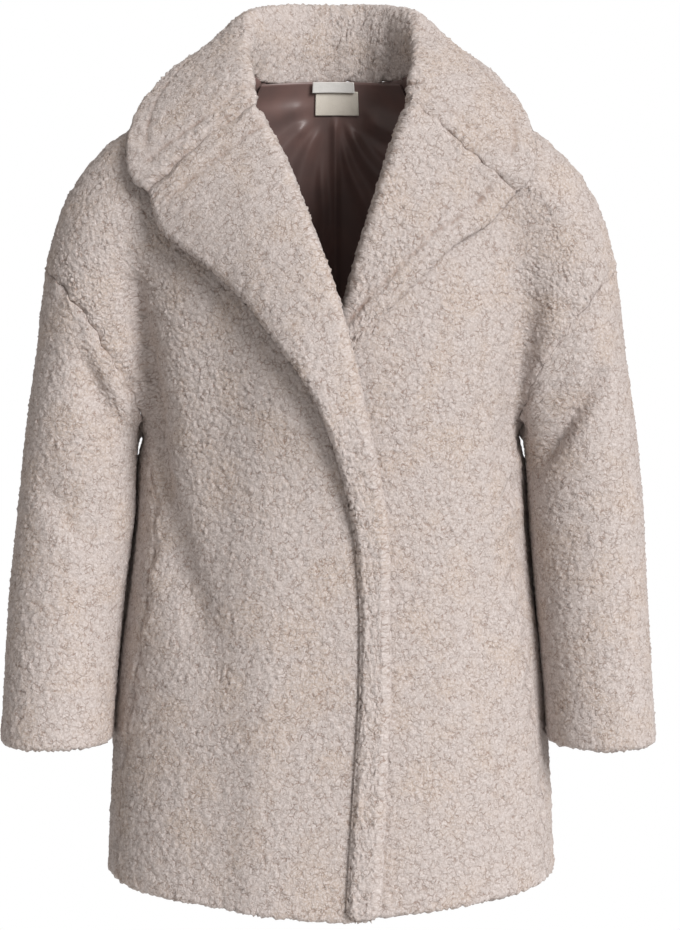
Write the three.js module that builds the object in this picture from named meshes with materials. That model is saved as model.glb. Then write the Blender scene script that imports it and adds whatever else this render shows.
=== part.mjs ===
// A short faux fur coat, filled out as if worn: a hollow body, two hanging sleeves, a wide notched
// collar standing at the nape, and lapels that roll out of a crossed front.
// Millimetres, +Z up, the front looks along -Y, and +X is the wearer's left.
// The origin is the middle of the neck opening, level with the seam at the nape.
import * as THREE from 'three';

// Driving sizes
const PILE_WALL = 9;          // pile and its knitted backing, one layer
const DOUBLE_WALL = 14;       // collar and lapels: two layers back to back
const SEAM_GAP = 0.4;         // between two pieces along a seam
const NECK_GAP = 0.9;         // between the collar and the neck edge, which curves more
const LAYER_GAP = 0.5;        // between a panel and what is sewn or folded onto it
const PASSING_GAP = 1.6;      // between the two fronts where they cross
const LAPEL_STAND_OFF = 11;   // the upper lapel's free edge above the chest
const ROLL_TURN = 9;          // how far a lapel reaches past its panel's edge where it turns round it
const LINING_WALL = 1.2;
const LINING_IN = 2.4;        // behind it, to the pile's backing
const LINING_TOP = -1.5;
const LINING_DIP = 5;         // its top edge is this much lower at its ends
const LINING_LOW = -390;      // the lining is made from here up
const LINING_TOP_HALF = 82;   // half its width at the neck
const LINING_LOW_HALF = 150;
const LINING_FOLDS = 15;
const LINING_COLUMNS = 26;
const LINING_ROWS = 12;
const LABEL = { x: 7, z: -12, width: 51, height: 27, level: 4.6, wall: 1 };
const HANGER_TAG = { x: 3, z: -3, width: 52, height: 12, level: 6.6, wall: 1.6 };
const HEM_Z = -866;
const CUFF_Z = -704;
const ARMPIT_Z = -386;
const SHOULDER_TOP = { x: 86, y: 6, z: -4 };
const NAPE = { x: 0, y: 78, z: 1 };

// The body as level sections: half its width, its depth to the front and to the back, and how square it is.
const TORSO = [
  { z: -880, half: 240, front: 142, back: 127, square: 2.35 },
  { z: -740, half: 234, front: 139, back: 125, square: 2.35 },
  { z: -630, half: 226, front: 136, back: 122, square: 2.35 },
  { z: -500, half: 209, front: 132, back: 118, square: 2.35 },
  { z: -386, half: 203, front: 130, back: 115, square: 2.4 },
  { z: -300, half: 212, front: 127, back: 113, square: 2.4 },
  { z: -200, half: 212, front: 118, back: 108, square: 2.3 },
  { z: -150, half: 202, front: 110, back: 103, square: 2.2 },
  { z: -100, half: 178, front: 98, back: 96, square: 2.1 },
  { z: -60, half: 142, front: 86, back: 88, square: 2 },
  { z: -30, half: 112, front: 76, back: 82, square: 2 },
  { z: 0, half: 90, front: 62, back: 78, square: 2 },
  { z: 20, half: 80, front: 52, back: 74, square: 2 },
];

// One arm from the neck base to the cuff: the axis of its tube, and its half sizes across and in depth.
const ARM = [
  { x: 0, y: 6, z: -60, across: 56, depth: 60 },
  { x: 95, y: 6, z: -60, across: 58, depth: 62 },
  { x: 150, y: 5, z: -82, across: 58, depth: 64 },
  { x: 200, y: 4, z: -114, across: 57, depth: 66 },
  { x: 233, y: 2, z: -156, across: 57, depth: 67 },
  { x: 249, y: 0, z: -215, across: 58, depth: 68 },
  { x: 257, y: -4, z: -300, across: 59, depth: 66 },
  { x: 267, y: -10, z: -385, across: 60, depth: 65 },
  { x: 275, y: -17, z: -455, across: 58, depth: 63 },
  { x: 283, y: -27, z: -553, across: 56, depth: 61 },
  { x: 289, y: -38, z: -650, across: 54, depth: 59 },
  { x: 292, y: -43, z: CUFF_Z, across: 54, depth: 57 },
  { x: 294, y: -46, z: -740, across: 54, depth: 57 },
];

// The outer edge of both fronts, from the hem up the side seam and the front of the armhole to the
// drop of the shoulder; steps is how many rows of points lie between a section and the next.
const FRONT_SIDE = [
  { x: 229, y: -56, z: -850, steps: 4 },
  { x: 221, y: -58, z: -738, steps: 3 },
  { x: 206, y: -68, z: -640, steps: 3 },
  { x: 197, y: -70, z: -549, steps: 3 },
  { x: 189, y: -66, z: -471, steps: 2 },
  { x: 194, y: -46, z: -420, steps: 2 },
  { x: 203, y: 0, z: -386, steps: 2 },
  { x: 207, y: -28, z: -354, steps: 2 },
  { x: 222, y: -60, z: -314, steps: 2 },
  { x: 243, y: -72, z: -278, steps: 2 },
  { x: 258, y: -68, z: -256, steps: 2 },
  { x: 272, y: -60, z: -238, steps: 2 },
  { x: 286, y: -46, z: -222, steps: 4 },
  { x: 307, y: 0, z: -199, steps: 0 },
];
const ARMPIT_SECTION = 6;
const GORGE_SECTION = 12;

// The right front in the same sections: the lapel's free edge and the line it rolls on. Below the
// crossing that line is the front edge. x runs to the wearer's left, past the middle.
const RIGHT_FRONT = [
  { lapelX: 14, lapelZ: -866, rollX: 49, rollZ: -865 },
  { lapelX: 21, lapelZ: -747, rollX: 54, rollZ: -745 },
  { lapelX: 27, lapelZ: -645, rollX: 59, rollZ: -643 },
  { lapelX: 28, lapelZ: -553, rollX: 58, rollZ: -550 },
  { lapelX: 22, lapelZ: -475, rollX: 57, rollZ: -471 },
  { lapelX: 11, lapelZ: -422, rollX: 48, rollZ: -414 },
  { lapelX: -1, lapelZ: -380, rollX: 39, rollZ: -371 },
  { lapelX: -20, lapelZ: -332, rollX: 28, rollZ: -318 },
  { lapelX: -57, lapelZ: -277, rollX: 11, rollZ: -248 },
  { lapelX: -92, lapelZ: -233, rollX: -7, rollZ: -193 },
  { lapelX: -134, lapelZ: -196, rollX: -27, rollZ: -139 },
  { lapelX: -169, lapelZ: -169, rollX: -46, rollZ: -91 },
  { lapelX: -189, lapelZ: -127, rollX: -76, rollZ: -36 },
];

// The left front, which lies under the right one below the crossing.
const LEFT_FRONT = [
  { lapelX: 20, lapelZ: -866, rollX: -48, rollZ: -865 },
  { lapelX: 20, lapelZ: -746, rollX: -48, rollZ: -745 },
  { lapelX: 20, lapelZ: -644, rollX: -48, rollZ: -643 },
  { lapelX: 18, lapelZ: -551, rollX: -47, rollZ: -550 },
  { lapelX: 15, lapelZ: -473, rollX: -44, rollZ: -471 },
  { lapelX: 12, lapelZ: -418, rollX: -40, rollZ: -414 },
  { lapelX: 8, lapelZ: -376, rollX: -32, rollZ: -371 },
  { lapelX: 12, lapelZ: -318, rollX: -12, rollZ: -312 },
  { lapelX: 48, lapelZ: -262, rollX: 10, rollZ: -248 },
  { lapelX: 88, lapelZ: -220, rollX: 26, rollZ: -190 },
  { lapelX: 124, lapelZ: -184, rollX: 42, rollZ: -138 },
  { lapelX: 160, lapelZ: -161, rollX: 57, rollZ: -90 },
  { lapelX: 190, lapelZ: -127, rollX: 77, rollZ: -32 },
];
const LEFT_LAPEL_SECTION = 7;   // the left lapel starts here, under the crossing

// The back of the armhole, from the armpit to the drop of the shoulder.
const BACK_ARMHOLE = [
  { x: 203, y: 0, z: -386 },
  { x: 206, y: 20, z: -360 },
  { x: 213, y: 44, z: -332 },
  { x: 226, y: 60, z: -305 },
  { x: 243, y: 66, z: -279 },
  { x: 262, y: 64, z: -254 },
  { x: 283, y: 50, z: -228 },
  { x: 307, y: 0, z: -199 },
];

// The collar's half, in sections from the nape to the gorge: the top of its roll and its free edge.
// Its seam lies on the neck edge, and its last section on the lapel's top edge.
const COLLAR = [
  { rollX: 0, rollY: 93, rollZ: 81, edgeX: 0, edgeY: 128, edgeZ: 26 },
  { rollX: 33, rollY: 88, rollZ: 81, edgeX: 54, edgeY: 122, edgeZ: 26 },
  { rollX: 64, rollY: 68, rollZ: 77, edgeX: 104, edgeY: 102, edgeZ: 25 },
  { rollX: 89, rollY: 34, rollZ: 67, edgeX: 139, edgeY: 66, edgeZ: 22 },
  { rollX: 92, rollY: 6, rollZ: 50, edgeX: 169, edgeY: 32, edgeZ: 10 },
  { rollX: 90, rollY: -22, rollZ: 28, edgeX: 192, edgeY: 0, edgeZ: -16 },
  { rollX: 86, rollY: -50, rollZ: 2, edgeX: 211, edgeY: -32, edgeZ: -52 },
  { rollX: 80, rollY: -80, rollZ: -30, edgeX: 196, edgeY: -86, edgeZ: -118 },
];
const COLLAR_CORNER = { at: 6.5, x: 214, y: -60, z: -88 };

// The main folds as soft troughs: where each starts and ends in the view from the front, its depth and
// half its width. A fold with a back sign lies on the far side.
const FOLDS = [
  { name: 'right armhole', face: 'front', x1: -208, z1: -204, x2: -176, z2: -430, depth: 9, half: 17 },
  { name: 'right flank', face: 'front', x1: -174, z1: -450, x2: -130, z2: -610, depth: 6, half: 26 },
  { name: 'left armhole', face: 'front', x1: 206, z1: -215, x2: 182, z2: -420, depth: 6, half: 17 },
  { name: 'left chest', face: 'front', x1: 188, z1: -170, x2: 150, z2: -430, depth: 5, half: 22 },
  { name: 'left flank', face: 'front', x1: 172, z1: -470, x2: 150, z2: -640, depth: 4, half: 26 },
  { name: 'right sleeve high', face: 'front', x1: -272, z1: -296, x2: -222, z2: -392, depth: 8, half: 13 },
  { name: 'right sleeve low', face: 'front', x1: -306, z1: -420, x2: -250, z2: -470, depth: 5, half: 15 },
  { name: 'left sleeve high', face: 'front', x1: 300, z1: -330, x2: 214, z2: -420, depth: 13, half: 15 },
  { name: 'left sleeve low', face: 'front', x1: 318, z1: -420, x2: 240, z2: -490, depth: 5, half: 16 },
  { name: 'right back armhole', face: 'back', x1: -200, z1: -215, x2: -176, z2: -440, depth: 7, half: 18 },
  { name: 'left back armhole', face: 'back', x1: 203, z1: -200, x2: 174, z2: -450, depth: 8, half: 18 },
  { name: 'right back flank', face: 'back', x1: -150, z1: -480, x2: -110, z2: -700, depth: 5, half: 28 },
  { name: 'left back flank', face: 'back', x1: 156, z1: -500, x2: 120, z2: -720, depth: 6, half: 28 },
  { name: 'right back sleeve', face: 'back', x1: -292, z1: -330, x2: -222, z2: -400, depth: 9, half: 15 },
  { name: 'left back sleeve', face: 'back', x1: 286, z1: -320, x2: 220, z2: -405, depth: 9, half: 15 },
  { name: 'right elbow', face: 'back', x1: -326, z1: -480, x2: -262, z2: -440, depth: 6, half: 16 },
  { name: 'left elbow', face: 'back', x1: 330, z1: -490, x2: 262, z2: -450, depth: 6, half: 16 },
];

// Numbers and points

const clamp = (v, low, high) => Math.min(high, Math.max(low, v));
const mix = (a, b, t) => a + (b - a) * t;
const ramp = (v, from, to) => {
  const t = clamp((v - from) / (to - from), 0, 1);
  return t * t * (3 - 2 * t);
};
const point = (x, y, z) => new THREE.Vector3(x, y, z);

// A cubic through the rows of a table, at a place between them; it passes through every row.
function through(rows, columns, at) {
  const i = clamp(Math.floor(at), 0, rows.length - 2);
  const t = at - i;
  const found = {};
  for (const column of columns) {
    const p1 = rows[i][column];
    const p2 = rows[i + 1][column];
    const p0 = i > 0 ? rows[i - 1][column] : 2 * p1 - p2;
    const p3 = i + 2 < rows.length ? rows[i + 2][column] : 2 * p2 - p1;
    found[column] = 0.5 * (2 * p1 + (p2 - p0) * t + (2 * p0 - 5 * p1 + 4 * p2 - p3) * t * t
      + (3 * p1 - p0 - 3 * p2 + p3) * t * t * t);
  }
  return found;
}

// The same by height: slopes are taken from the heights, because the sections are not evenly spaced.
function sectionAt(z) {
  const rows = TORSO;
  const at = clamp(z, rows[0].z, rows[rows.length - 1].z);
  let i = 0;
  while (i < rows.length - 2 && rows[i + 1].z < at) i += 1;
  const span = rows[i + 1].z - rows[i].z;
  const t = (at - rows[i].z) / span;
  const slope = (k, column) => {
    const low = rows[Math.max(0, k - 1)];
    const high = rows[Math.min(rows.length - 1, k + 1)];
    return (high[column] - low[column]) / (high.z - low.z);
  };
  const found = {};
  for (const column of ['half', 'front', 'back', 'square']) {
    const a = rows[i][column];
    const b = rows[i + 1][column];
    const da = slope(i, column) * span;
    const db = slope(i + 1, column) * span;
    const t2 = t * t;
    const t3 = t2 * t;
    found[column] = (2 * t3 - 3 * t2 + 1) * a + (t3 - 2 * t2 + t) * da
      + (3 * t2 - 2 * t3) * b + (t3 - t2) * db;
  }
  return found;
}

// The form under the cloth's outer face: how far a point lies outside it, negative inside

function torsoForm(p) {
  const s = sectionAt(p.z);
  const depth = p.y < 0 ? s.front : s.back;
  const reach = Math.hypot(p.x, p.y);
  const share = (Math.abs(p.x / s.half) ** s.square + Math.abs(p.y / depth) ** s.square) ** (1 / s.square);
  return reach * (1 - 1 / Math.max(share, 1e-6));
}

const ARM_STEPS = 4;
const ARM_LINE = [];
for (let k = 0; k <= (ARM.length - 1) * ARM_STEPS; k += 1) {
  ARM_LINE.push(through(ARM, ['x', 'y', 'z', 'across', 'depth'], k / ARM_STEPS));
}

function armForm(p) {
  const x = Math.abs(p.x);
  let best = Infinity;
  let found = 0;
  for (let k = 0; k < ARM_LINE.length - 1; k += 1) {
    const a = ARM_LINE[k];
    const b = ARM_LINE[k + 1];
    const dx = b.x - a.x;
    const dy = b.y - a.y;
    const dz = b.z - a.z;
    const length2 = dx * dx + dy * dy + dz * dz;
    const t = clamp(((x - a.x) * dx + (p.y - a.y) * dy + (p.z - a.z) * dz) / length2, 0, 1);
    const ox = x - mix(a.x, b.x, t);
    const oy = p.y - mix(a.y, b.y, t);
    const oz = p.z - mix(a.z, b.z, t);
    const far = ox * ox + oy * oy + oz * oz;
    if (far < best) {
      best = far;
      const length = Math.hypot(dx, dz);
      const across = (ox * dz - oz * dx) / length;   // across the tube, in the view from the front
      const inDepth = Math.sqrt(Math.max(0, far - across * across));
      const share = Math.hypot(across / mix(a.across, b.across, t), inDepth / mix(a.depth, b.depth, t));
      found = Math.sqrt(far) * (1 - 1 / Math.max(share, 1e-6));
    }
  }
  return found;
}

// Two forms run into each other over a soft valley of this width.
function joined(a, b, soft) {
  const h = clamp(0.5 + 0.5 * (b - a) / soft, 0, 1);
  return mix(b, a, h) - soft * h * (1 - h);
}
const valleyAt = (z) => mix(36, 60, ramp(z, ARMPIT_Z, -215));
// Towards the armpit each of the two leaves the other, so that body and sleeve part there.
const partingAt = (z) => 34 * (1 - ramp(z, ARMPIT_Z, ARMPIT_Z + 36));

function foldAt(p) {
  let depth = 0;
  for (const f of FOLDS) {
    if ((f.face === 'front') !== (p.y < 0)) continue;
    const dx = f.x2 - f.x1;
    const dz = f.z2 - f.z1;
    const along = ((p.x - f.x1) * dx + (p.z - f.z1) * dz) / (dx * dx + dz * dz);
    const t = clamp(along, 0, 1);
    const away = Math.hypot(p.x - f.x1 - t * dx, p.z - f.z1 - t * dz);
    const bowl = Math.sin(Math.PI * clamp(0.12 + 0.76 * t, 0, 1));
    depth += f.depth * bowl * Math.exp(-((away / f.half) ** 2));
  }
  return depth * ramp(Math.abs(p.y), 6, 40);
}

const bodyForm = (p) => foldAt(p) + (p.z < ARMPIT_Z ? torsoForm(p)
  : joined(torsoForm(p), armForm(p) + partingAt(p.z), valleyAt(p.z)));
const sleeveForm = (p) => foldAt(p) + (p.z < ARMPIT_Z ? armForm(p)
  : joined(armForm(p), torsoForm(p) + partingAt(p.z), valleyAt(p.z)));

function slopeOf(form, p) {
  const step = 0.5;
  const slope = point(0, 0, 0);
  for (const axis of ['x', 'y', 'z']) {
    const high = p.clone();
    const low = p.clone();
    high[axis] += step;
    low[axis] -= step;
    slope[axis] = (form(high) - form(low)) / (2 * step);
  }
  return slope;
}

// Carries a point to the form's surface, and gives the way out of it there.
function settled(form, from) {
  const p = from.clone();
  for (let turn = 0; turn < 12; turn += 1) {
    const slope = slopeOf(form, p);
    const move = slope.multiplyScalar(-form(p) / Math.max(slope.lengthSq(), 1e-6));
    p.add(move.clampLength(0, 25));
  }
  return { at: p, out: slopeOf(form, p).normalize() };
}

// Carries a seed straight forwards or back to the body's surface.
function straightTo(seed, face) {
  const form = (y) => bodyForm(point(seed.x, y, seed.z));
  let outside = face * 240;
  let inside = outside;
  while (Math.abs(inside) > 8 && form(inside) > 0) {
    outside = inside;
    inside -= face * 8;
  }
  if (form(inside) > 0) return settled(bodyForm, seed);
  for (let turn = 0; turn < 16; turn += 1) {
    const middle = (inside + outside) / 2;
    if (form(middle) > 0) outside = middle;
    else inside = middle;
  }
  const at = point(seed.x, (inside + outside) / 2, seed.z);
  return { at, out: slopeOf(bodyForm, at).normalize() };
}

// The same for the back, which also covers the body's side: there it goes the nearest way.
function backAt(seed) {
  const p = seed.clone();
  p.addScaledVector(point(seed.x, seed.y, 0).normalize(), -torsoForm(seed));
  const straight = ramp(Math.abs(seed.x) / sectionAt(seed.z).half, 0.98, 0.8);
  const low = ramp(seed.z, ARMPIT_Z + 90, ARMPIT_Z + 30);
  const share = 1 - low * (1 - straight);
  if (share === 0) return settled(bodyForm, p);
  const ahead = straightTo(seed, 1).at;
  return settled(bodyForm, settled(bodyForm, p).at.lerp(ahead, share));
}

const raised = (spot, by) => spot.at.clone().addScaledVector(spot.out, by);

// Closed walls from grids of points

// outer and inner are grids of the same size. A ring grid closes on itself across its columns.
function wall(outer, inner, ring = false) {
  const rows = outer.length;
  const columns = outer[0].length;
  const positions = [];
  for (const grid of [outer, inner]) {
    for (const row of grid) for (const p of row) positions.push(p.x, p.y, p.z);
  }
  const index = [];
  const node = (face, r, c) => face * rows * columns + r * columns + (c % columns);
  const apart = (a, b) => Math.hypot(positions[3 * a] - positions[3 * b],
    positions[3 * a + 1] - positions[3 * b + 1], positions[3 * a + 2] - positions[3 * b + 2]);
  // Each four-sided cell is split along its shorter diagonal.
  const quad = (a, b, c, d) => {
    if (apart(a, c) <= apart(b, d)) index.push(a, b, c, a, c, d);
    else index.push(b, c, d, b, d, a);
  };
  const across = ring ? columns : columns - 1;
  for (let r = 0; r < rows - 1; r += 1) {
    for (let c = 0; c < across; c += 1) {
      quad(node(0, r, c), node(0, r, c + 1), node(0, r + 1, c + 1), node(0, r + 1, c));
      quad(node(1, r, c), node(1, r + 1, c), node(1, r + 1, c + 1), node(1, r, c + 1));
    }
  }
  // A rim cell is split from its higher outer corner, so that two pieces split a shared seam alike.
  const rim = (a, b, c, d) => {
    const [one, two] = [a, b, c, d].filter((n) => n < rows * columns);
    const high = positions[3 * one + 2] > positions[3 * two + 2] ? one : two;
    if (high === a || high === c) index.push(a, b, c, a, c, d);
    else index.push(b, c, d, b, d, a);
  };
  for (let c = 0; c < across; c += 1) {
    rim(node(1, 0, c), node(1, 0, c + 1), node(0, 0, c + 1), node(0, 0, c));
    rim(node(0, rows - 1, c), node(0, rows - 1, c + 1), node(1, rows - 1, c + 1), node(1, rows - 1, c));
  }
  for (let r = 0; !ring && r < rows - 1; r += 1) {
    const end = columns - 1;
    rim(node(1, r, 0), node(0, r, 0), node(0, r + 1, 0), node(1, r + 1, 0));
    rim(node(0, r, end), node(1, r, end), node(1, r + 1, end), node(0, r + 1, end));
  }
  const geometry = new THREE.BufferGeometry();
  geometry.setAttribute('position', new THREE.Float32BufferAttribute(positions, 3));
  geometry.setIndex(index);
  return facingOut(geometry);
}

function facingOut(geometry) {
  const p = geometry.getAttribute('position');
  const index = geometry.index.array;
  const corner = [point(0, 0, 0), point(0, 0, 0), point(0, 0, 0)];
  let volume = 0;
  for (let i = 0; i < index.length; i += 3) {
    corner.forEach((v, k) => v.fromBufferAttribute(p, index[i + k]));
    volume += corner[0].dot(corner[1].clone().cross(corner[2]));
  }
  if (volume < 0) {
    for (let i = 0; i < index.length; i += 3) [index[i], index[i + 1]] = [index[i + 1], index[i]];
  }
  geometry.computeVertexNormals();
  return geometry;
}

const gridOf = (rows, columns, make) => Array.from({ length: rows }, (_, r) =>
  Array.from({ length: columns }, (__, c) => make(r, c)));

// Fronts

// Every row of points between the sections, as places in the section tables.
const FRONT_ROWS = [];
FRONT_SIDE.forEach((section, i) => {
  for (let k = 0; k < section.steps; k += 1) FRONT_ROWS.push(i + k / section.steps);
});
FRONT_ROWS.push(FRONT_SIDE.length - 1);
const ARMPIT_ROW = FRONT_ROWS.indexOf(ARMPIT_SECTION);
const GORGE_ROW = FRONT_ROWS.indexOf(GORGE_SECTION);
const PANEL_STEPS = 9;    // from the side to the lapel's free edge
const LAPEL_STEPS = 4;    // from there to the roll
const FRONT_COLUMNS = PANEL_STEPS + LAPEL_STEPS + 1;

// A side of +1 is the wearer's left. Above the armpit the side edge turns sharply, so it is taken in two runs.
function sideEdge(table, side, at, split) {
  const columns = ['x', 'y', 'z'];
  const found = at <= split ? through(table.slice(0, split + 1), columns, at)
    : through(table.slice(split), columns, at - split);
  return point(side * found.x, found.y, found.z);
}

// One row of a front, from the side to the roll; above the gorge the neck edge runs on to the shoulder.
function frontRow(table, side, at) {
  const edge = sideEdge(FRONT_SIDE, side, at, ARMPIT_SECTION);
  const columns = ['lapelX', 'lapelZ', 'rollX', 'rollZ'];
  const inTable = through(table, columns, Math.min(at, GORGE_SECTION));
  const depthAt = (z) => -sectionAt(z).front;
  let lapel = point(inTable.lapelX, depthAt(inTable.lapelZ) * 0.9, inTable.lapelZ);
  let roll = point(inTable.rollX, depthAt(inTable.rollZ), inTable.rollZ);
  const above = at - GORGE_SECTION;
  if (above > 0) {
    const top = point(side * SHOULDER_TOP.x, SHOULDER_TOP.y, SHOULDER_TOP.z);
    const ridge = point(side * 160, 4, -26);
    lapel = lapel.lerp(ridge, above);
    const bend = point(side * 12, -6, -8).multiplyScalar(Math.sin(Math.PI * above));
    roll = roll.lerp(top, above).add(bend);
  }
  // The panel stops short of the roll, where the lapel turns round its edge.
  roll.lerp(lapel, (1 - Math.max(0, above)) * ROLL_TURN / roll.distanceTo(lapel));
  const row = [];
  for (let c = 0; c < PANEL_STEPS; c += 1) row.push(edge.clone().lerp(lapel, (c / PANEL_STEPS) ** 1.25));
  for (let c = 0; c <= LAPEL_STEPS; c += 1) row.push(lapel.clone().lerp(roll, c / LAPEL_STEPS));
  return row.map((p, c) => (c === 0 || above > 0 ? settled(bodyForm, p) : straightTo(p, -1)));
}

const rightFront = FRONT_ROWS.map((at) => frontRow(RIGHT_FRONT, -1, at));
const leftFront = FRONT_ROWS.map((at) => frontRow(LEFT_FRONT, 1, at));
// How far the right front stands out to pass over the left one, and over its lapel at the crossing.
function rightLift(p) {
  const overLayer = (PILE_WALL + PASSING_GAP) * ramp(p.x, -125, -62) * ramp(p.z, -60, -200);
  const crossing = ramp(p.z, -455, -340) * ramp(p.z, -110, -235);
  return overLayer + (DOUBLE_WALL + PASSING_GAP + 1.2) * crossing * ramp(p.x, -96, -8);
}
const noLift = () => 0;

function frontGeometry(grid, lift) {
  const outer = grid.map((row) => row.map((spot) => raised(spot, lift(spot.at))));
  const inner = grid.map((row) => row.map((spot) => raised(spot, lift(spot.at) - PILE_WALL)));
  return wall(outer, inner);
}

// A lapel is its front's own points moved out, from its free edge to the roll; there it turns round the
// panel's edge and ends level with the panel's inner face.
function lapelFaces(grid, lift, firstRow, thin) {
  const rows = grid.slice(firstRow, GORGE_ROW + 1).map((row) => row.slice(PANEL_STEPS));
  const outer = [];
  const inner = [];
  rows.forEach((row) => {
    const outerRow = [];
    const innerRow = [];
    row.forEach((spot, c) => {
      const free = ramp(spot.at.z, -520, -300) * (1 - c / LAPEL_STEPS);
      const under = lift(spot.at) + LAYER_GAP + LAPEL_STAND_OFF * free;
      const thick = thin(spot.at) * (c === 0 ? 0.75 : 1);
      outerRow.push(raised(spot, under + thick));
      innerRow.push(raised(spot, under));
    });
    const edge = row[LAPEL_STEPS];
    const beyond = edge.at.clone().sub(row[LAPEL_STEPS - 1].at).normalize();
    const level = lift(edge.at);
    const turned = (reach, height) => raised(edge, level + height).addScaledVector(beyond, reach);
    const thick = thin(edge.at);
    outerRow.push(turned(0.7 * ROLL_TURN, LAYER_GAP + 0.62 * thick), turned(ROLL_TURN, -1));
    outerRow.push(turned(0.9 * ROLL_TURN, -PILE_WALL));
    innerRow.push(turned(SEAM_GAP, LAYER_GAP), turned(SEAM_GAP, -4), turned(SEAM_GAP, -PILE_WALL));
    outer.push(outerRow);
    inner.push(innerRow);
  });
  return { outer, inner };
}
// Down the front edge the right lapel runs on as a flat, thinner facing turned back to the hem.
const rightLapelWall = (p) => mix(8, DOUBLE_WALL, ramp(p.z, -560, -330));
const leftLapelWall = (p) => mix(6, DOUBLE_WALL, ramp(p.z, -320, -220));
const rightLapel = lapelFaces(rightFront, rightLift, 0, rightLapelWall);
const leftLapel = lapelFaces(leftFront, noLift, FRONT_ROWS.indexOf(LEFT_LAPEL_SECTION), leftLapelWall);

// Back

const NECK_STEPS = 3;   // along the back neck, from the shoulder seam to the nape
const BACK_MIDDLE = FRONT_COLUMNS - 1 + NECK_STEPS;

function backEdge(side, r) {
  if (r <= ARMPIT_ROW) {
    const shared = (side < 0 ? rightFront : leftFront)[r][0];
    return { at: shared.at, out: shared.out };
  }
  const share = (FRONT_ROWS[r] - ARMPIT_SECTION) / (FRONT_SIDE.length - 1 - ARMPIT_SECTION);
  const spot = through(BACK_ARMHOLE, ['x', 'y', 'z'], share * (BACK_ARMHOLE.length - 1));
  return settled(bodyForm, point(side * spot.x, spot.y, spot.z));
}

// The back's top edge on one side: the shoulder seam, then the neck as far as the nape.
function backTop(side) {
  const front = (side < 0 ? rightFront : leftFront)[FRONT_ROWS.length - 1];
  const along = front.map((spot) => ({ at: spot.at, out: spot.out }));
  for (let k = 1; k <= NECK_STEPS; k += 1) {
    const turn = (k / NECK_STEPS) * Math.PI / 2;
    const p = point(side * SHOULDER_TOP.x * Math.cos(turn),
      mix(SHOULDER_TOP.y, NAPE.y, Math.sin(turn)), mix(SHOULDER_TOP.z, NAPE.z, k / NECK_STEPS));
    along.push(settled(bodyForm, p));
  }
  return along;
}

// A level line across half the back, with its points spread as the top edge's are.
function backLevel(edge, middleZ, spread) {
  const from = Math.atan2(edge.y, Math.abs(edge.x));
  const side = Math.sign(edge.x);
  return spread.map((t) => {
    const turn = mix(from, Math.PI / 2, t);
    const z = mix(edge.z, middleZ, Math.sin(t * Math.PI / 2));
    const p = point(side * Math.cos(turn), Math.sin(turn), z);
    p.x *= sectionAt(z).half;
    p.y *= sectionAt(z).back;
    p.addScaledVector(point(p.x, p.y, 0).normalize(), -torsoForm(p));
    return p;
  });
}

// Half of the back, its rows running from the side to the middle.
function backHalf(side) {
  const top = FRONT_ROWS.length - 1;
  const shoulder = backTop(side);
  const lengths = [0];
  for (let c = 1; c <= BACK_MIDDLE; c += 1) {
    lengths.push(lengths[c - 1] + shoulder[c].at.distanceTo(shoulder[c - 1].at));
  }
  const spread = lengths.map((length) => length / lengths[BACK_MIDDLE]);
  const armpit = backLevel(backEdge(side, ARMPIT_ROW).at, ARMPIT_Z + 26, spread);
  return FRONT_ROWS.map((_, r) => {
    if (r === top) return shoulder;
    const edge = backEdge(side, r);
    if (r <= ARMPIT_ROW) {
      const middleZ = mix(HEM_Z + 14, ARMPIT_Z + 26, r / ARMPIT_ROW);
      const level = backLevel(edge.at, middleZ, spread);
      return level.map((p, c) => (c === 0 ? edge : settled(bodyForm, p)));
    }
    // Above the armpit the rows pass from that level line into the top edge.
    const up = (r - ARMPIT_ROW) / (top - ARMPIT_ROW);
    const slack = edge.at.clone().sub(armpit[0].clone().lerp(shoulder[0].at, up));
    return armpit.map((low, c) => {
      if (c === 0) return edge;
      const p = low.clone().lerp(shoulder[c].at, up).addScaledVector(slack, 1 - spread[c]);
      return up > 0.86 ? settled(bodyForm, p) : backAt(p);
    });
  });
}

const backRight = backHalf(-1);
const backLeft = backHalf(1);
const backGrid = backRight.map((row, r) => [...row, ...backLeft[r].slice(0, -1).reverse()]);

// The back keeps a seam's gap from the fronts: its side and shoulder edges move towards its middle.
function backShift(r, c) {
  const last = backGrid[0].length - 1;
  const top = backGrid.length - 1;
  const shift = point(0, 0, 0);
  if (r <= ARMPIT_ROW && (c === 0 || c === last)) shift.y = SEAM_GAP;
  if (r === top && (c < FRONT_COLUMNS || c > last - FRONT_COLUMNS)) shift.y = SEAM_GAP;
  return shift;
}

function backGeometry() {
  const outer = backGrid.map((row, r) => row.map((spot, c) => spot.at.clone().add(backShift(r, c))));
  const inner = backGrid.map((row, r) => row.map((spot, c) => raised(spot, -PILE_WALL).add(backShift(r, c))));
  return wall(outer, inner);
}

// Collar

const COLLAR_HALVES = 2;   // columns of points for each section of its table

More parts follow.
